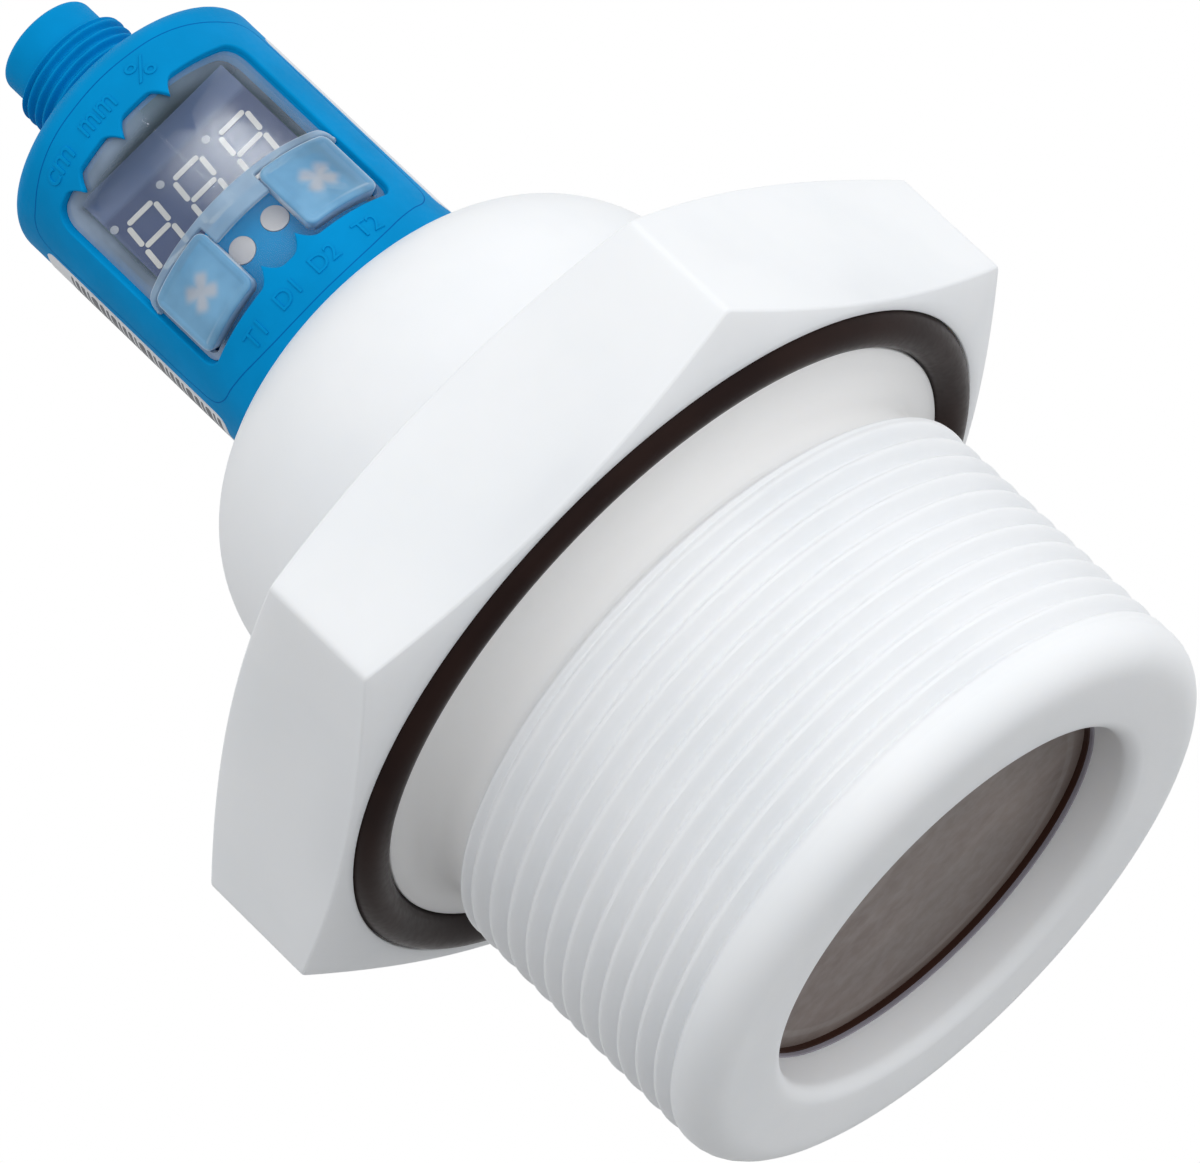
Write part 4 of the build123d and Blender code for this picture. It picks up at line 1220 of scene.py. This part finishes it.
for number, sign in ((1, -1), (2, 1)):
    ends = sorted((sign * arc(HEAD["key_from"]), sign * arc(HEAD["key_to"])))
    key = pad(
        f"key_pad_t{number}",
        *ends,
        HEAD["key_low"],
        HEAD["key_high"],
        HEAD["key_corner"],
        key_profile(),
        M["milky_key"],
    )
    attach(key, f"key_t{number}")
    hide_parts(f"key_t{number}")


# Digits and points of the display, and the strokes of the label
def bars_tree():
    """Sets a bar with round ends on every point, with the point's own turn, length and width."""
    given = (
        ("Geometry", "NodeSocketGeometry", None),
        ("Thickness", "NodeSocketFloat", 0.1),
        ("Material", "NodeSocketMaterial", None),
    )
    given_out = (("Geometry", "NodeSocketGeometry"),)
    tree, n, given, out = new_tree("GeometryNodeTree", "round_bars", given, given_out)
    disc = n.add("GeometryNodeMeshCylinder", {"Vertices": 18, "Radius": 1.0, "Depth": 1.0})
    spot = n.add("ShaderNodeSeparateXYZ", {"Vector": n.add("GeometryNodeInputPosition").outputs[0]})
    bar = n.keep(disc.outputs["Mesh"], "bar_end", n.math("SIGN", spot.outputs["X"]))
    turn = n.named("bar_turn")
    width = n.named("bar_width")
    half = n.times(width, 0.5)
    aim = n.add("ShaderNodeCombineXYZ", {"Z": turn})
    size = n.add("ShaderNodeCombineXYZ", {"X": half, "Y": half, "Z": given["Thickness"]})
    values = {
        "Points": given["Geometry"],
        "Instance": bar,
        "Rotation": aim.outputs[0],
        "Scale": size.outputs[0],
    }
    placed = n.add("GeometryNodeInstanceOnPoints", values)
    real = n.add("GeometryNodeRealizeInstances", {"Geometry": placed.outputs[0]})
    spare = n.times(n.minus(n.named("bar_length"), width), 0.5)
    reach = n.times(n.named("bar_end"), n.math("MAXIMUM", spare, 0.0))
    x = n.times(reach, n.math("COSINE", turn))
    y = n.times(reach, n.math("SINE", turn))
    moved = n.add("ShaderNodeCombineXYZ", {"X": x, "Y": y})
    drawn = n.add("GeometryNodeSetPosition", {"Geometry": real.outputs[0], "Offset": moved.outputs[0]})
    n.finish(drawn.outputs[0], given["Material"], out)
    return tree


BARS = bars_tree()


def flat_bars(name, rows, thickness, paint):
    """Mesh of bars given as (across, up, turn, length, width), lying flat in millimetres."""
    mesh = bpy.data.meshes.new(name + "_points")
    mesh.from_pydata([(row[0], row[1], 0) for row in rows], [], [])
    columns = {"bar_turn": 2, "bar_length": 3, "bar_width": 4}
    keep_values(mesh, {key: [row[column] for row in rows] for key, column in columns.items()})
    source = add_object(name + "_points", mesh)
    made = shaped(source, BARS, {"Thickness": thickness, "Material": paint}, [*columns, "bar_end"])
    bpy.data.objects.remove(source)
    return made


# Sizes of the digits, in millimetres, between the middles of their bars
DIGITS = {
    "count": 3,
    "pitch": 5.66,
    "first_x": -5.99,
    "width": 3.25,
    "height": 5.45,
    "middle_z": 93.85,
    "slant": math.tan(math.radians(6)),
    "bar": 0.52,
    "gap": 0.3,
    "tall_gap": 0.48,
    "face_y": -8.7,
    "thickness": 0.06,
    "point_left": 2.34,
    "point_up": 3.3,
    "point": 0.8,
}


def digit_rows():
    """Seven bars for every digit."""
    d = DIGITS
    rows = []
    lean = math.pi / 2 - math.atan(d["slant"])
    for place in range(d["count"]):
        middle = d["first_x"] + place * d["pitch"]
        for level in (-1, 0, 1):
            up = level * d["height"] / 2
            rows.append((middle + up * d["slant"], d["middle_z"] + up, 0, d["width"] - d["gap"], d["bar"]))
        for level in (-1, 1):
            up = level * d["height"] / 4
            for side in (-1, 1):
                across = middle + side * d["width"] / 2 + up * d["slant"]
                rows.append((across, d["middle_z"] + up, lean, d["height"] / 2 - d["tall_gap"], d["bar"]))
    return rows


def point_rows():
    """Unlit point at the upper left of every digit."""
    d = DIGITS
    across = d["first_x"] - d["point_left"]
    up = d["middle_z"] + d["point_up"]
    return [(across + place * d["pitch"], up, 0, d["point"], d["point"]) for place in range(d["count"])]


def on_display(name, rows, paint):
    """Bars on the face of the display."""
    mesh = flat_bars(name, rows, DIGITS["thickness"], paint)
    mesh.transform(Matrix.Rotation(math.radians(90), 4, "X"))
    mesh.transform(Matrix.Translation((0, DIGITS["face_y"] - DIGITS["thickness"] / 2, 0)))
    mesh.transform(Matrix.Scale(MM, 4))
    return link(name, mesh, paint)


for piece in (
    on_display("digit_bars", digit_rows(), M["segment_cream"]),
    on_display("display_points", point_rows(), M["dim_point"]),
):
    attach(piece, "sensor")
    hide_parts("display_segments")


# Plain strokes on the label, thick and thin in a fixed rhythm
LABEL = {"radius": 13.85, "low": 79.7, "high": 99.6, "middle": -96.0, "length": 8.4, "gap": 0.26, "ink": 0.02}
STROKES = (0.5, 0.3, 0.75, 0.35, 0.6, 0.9, 0.3, 0.55)


def label_strokes():
    """Dark strokes round the left flank of the label."""
    rows = []
    z = LABEL["low"]
    count = 0
    while z < LABEL["high"]:
        width = STROKES[count % len(STROKES)]
        rows.append((arc(LABEL["middle"]), z + width / 2, 0, LABEL["length"], width))
        z += width + LABEL["gap"]
        count += 1
    mesh = flat_bars("label_strokes", rows, LABEL["ink"], M["label_ink"])
    slice_across(mesh, HEAD["barrel_r"] * STEP)
    bend(mesh, LABEL["radius"], normals_of_plate(mesh))
    return link("label_strokes", mesh, M["label_ink"])


strokes = label_strokes()
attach(strokes, "sensor")


# Light, floor and camera
def view_ahead():
    """Direction in which the camera looks."""
    up = math.radians(VIEW_ELEVATION)
    side = math.radians(VIEW_AZIMUTH)
    return Vector((math.sin(side) * math.cos(up), math.cos(side) * math.cos(up), math.sin(up)))


def camera():
    """Camera at the photograph's place."""
    data = bpy.data.cameras.new("camera")
    data.lens = LENS
    data.sensor_width = SENSOR
    data.clip_start = 0.01
    data.clip_end = 10.0
    shot = add_object("camera", data)
    ahead = view_ahead()
    turn = ahead.to_track_quat("-Z", "Y").to_matrix()
    turn = Matrix.Rotation(math.radians(VIEW_ROLL), 3, ahead) @ turn
    shot.matrix_world = Matrix.Translation(VIEW_TARGET - ahead * VIEW_DISTANCE) @ turn.to_4x4()
    bpy.context.scene.camera = shot


camera()
KEY_BOX = {"place": Vector((0.42, -0.66, 0.05)), "aim": Vector((0, 0, 0.05)), "size": 0.6, "power": 1.0}


def key_box():
    """Square soft box that looks at the object from the lower right of the picture."""
    data = bpy.data.lights.new("key_box", "AREA")
    data.shape = "SQUARE"
    data.size = KEY_BOX["size"]
    data.energy = KEY_BOX["power"]
    box = add_object("key_box", data)
    turn = (KEY_BOX["aim"] - KEY_BOX["place"]).to_track_quat("-Z", "Y").to_matrix().to_4x4()
    box.matrix_world = Matrix.Translation(KEY_BOX["place"]) @ turn


key_box()


# Pale card that the display mirrors, in millimetres on its face: bright end along a line, faded behind it
CARD = {
    "line": ((5.16, 102.65), (7.07, 91.73)),
    "width": 10.5,
    "full_width": 1.5,
    "low": 90.5,
    "fade_high": 97.6,
    "high": 98.9,
    "columns": 24,
    "rows": 16,
    "away": 250.0,
    "glow": 15.0,
}


def glare_card():
    """Small pale card, seen only in reflections, that glows unevenly."""
    c = CARD
    eye = (VIEW_TARGET - view_ahead() * VIEW_DISTANCE) / MM
    (x0, z0), (x1, z1) = c["line"]
    slope = (x1 - x0) / (z1 - z0)
    verts, glow, faces = [], [], []
    for j in range(c["rows"] + 1):
        z = c["low"] + (c["high"] - c["low"]) * j / c["rows"]
        at_top = 1 - smooth_step(z, c["fade_high"], c["high"])
        for i in range(c["columns"] + 1):
            behind = c["width"] * i / c["columns"]
            spot = Vector((x0 + slope * (z - z0) - behind, DIGITS["face_y"], z))
            aim = (spot - eye).normalized()
            aim.y = -aim.y
            verts.append((spot + aim * c["away"]) * MM)
            glow.append((1 - smooth_step(behind, c["full_width"], c["width"])) * at_top)
            if i and j:
                last = len(verts) - 1
                under = last - c["columns"] - 1
                faces.append((last, last - 1, under - 1, under))
    mesh = bpy.data.meshes.new("glare_card")
    mesh.from_pydata(verts, [], faces)
    keep_values(mesh, {"glow": glow})
    card = add_object("glare_card", mesh)
    paint, n, shader = material("card_glow")
    shader.inputs["Base Color"].default_value = (0, 0, 0, 1)
    shader.inputs["Specular IOR Level"].default_value = 0.0
    shader.inputs["Emission Color"].default_value = (0.93, 0.97, 1.0, 1)
    bright = n.add("ShaderNodeAttribute", attribute_name="glow").outputs["Fac"]
    n.put(shader.inputs["Emission Strength"], n.times(bright, c["glow"]))
    mesh.materials.append(paint)
    card.visible_camera = False
    card.visible_diffuse = False
    card.visible_transmission = False
    card.visible_shadow = False


glare_card()


# Light of the room: stronger from one side, weaker from another, and its share in reflections
LIGHT_FROM = Vector((0.50, -0.85, 0.0)).normalized()
DIM_FROM = Vector((-0.62, 0.1, -0.78)).normalized()
ROOM = {"level": 0.735, "swing": 0.3, "dim": 0.4, "dim_start": 0.35, "dim_full": 0.95, "mirrored": 0.45}


def world():
    """Soft studio light, stronger from one side, in front of a white background."""
    made = bpy.data.worlds.new("studio")
    bpy.context.scene.world = made
    made.use_nodes = True
    n = Nodes(made.node_tree)
    out = made.node_tree.nodes["World Output"]
    lit = made.node_tree.nodes["Background"]
    lit.inputs["Color"].default_value = (0.96, 0.98, 1.0, 1)
    aim = n.add("ShaderNodeTexCoord").outputs["Generated"]
    towards, below = (
        n.add("ShaderNodeVectorMath", {0: aim, 1: way}, operation="DOT_PRODUCT").outputs["Value"]
        for way in (LIGHT_FROM, DIM_FROM)
    )
    level = n.math("MULTIPLY_ADD", towards, ROOM["swing"], ROOM["level"])
    dim = n.smooth(below, ROOM["dim_start"], ROOM["dim_full"], 0.0, ROOM["dim"])
    n.put(lit.inputs["Strength"], n.minus(level, dim))
    seen = n.add("ShaderNodeBackground", {"Color": (1, 1, 1, 1), "Strength": 1.0})
    path = n.add("ShaderNodeLightPath").outputs
    direct = n.math("MAXIMUM", path["Is Camera Ray"], path["Is Transmission Ray"])
    direct = n.math("MAXIMUM", direct, n.times(path["Is Glossy Ray"], ROOM["mirrored"]))
    mixed = n.add("ShaderNodeMixShader", {0: direct, 1: lit.outputs[0], 2: seen.outputs[0]})
    n.put(out.inputs["Surface"], mixed.outputs[0])


world()


def floor():
    """Pale floor at the foot of the object, seen only from above."""
    mesh = bpy.data.meshes.new("floor")
    made = bmesh.new()
    bmesh.ops.create_circle(made, cap_ends=True, segments=64, radius=1.2)
    made.to_mesh(mesh)
    made.free()
    base = add_object("floor", mesh)
    paint, n, shader = material("floor_paint")
    shader.inputs["Base Color"].default_value = (0.9, 0.9, 0.9, 1)
    shader.inputs["Roughness"].default_value = 0.8
    back = n.add("ShaderNodeNewGeometry").outputs["Backfacing"]
    open_air = n.add("ShaderNodeBsdfTransparent")
    mixed = n.add("ShaderNodeMixShader", {0: back, 1: shader.outputs[0], 2: open_air.outputs[0]})
    n.put(paint.node_tree.nodes["Material Output"].inputs["Surface"], mixed.outputs[0])
    mesh.materials.append(paint)
    base.visible_shadow = False
    base.visible_diffuse = False
    base.visible_glossy = False
    base.visible_transmission = False


floor()
bpy.context.scene.view_settings.view_transform = "Standard"
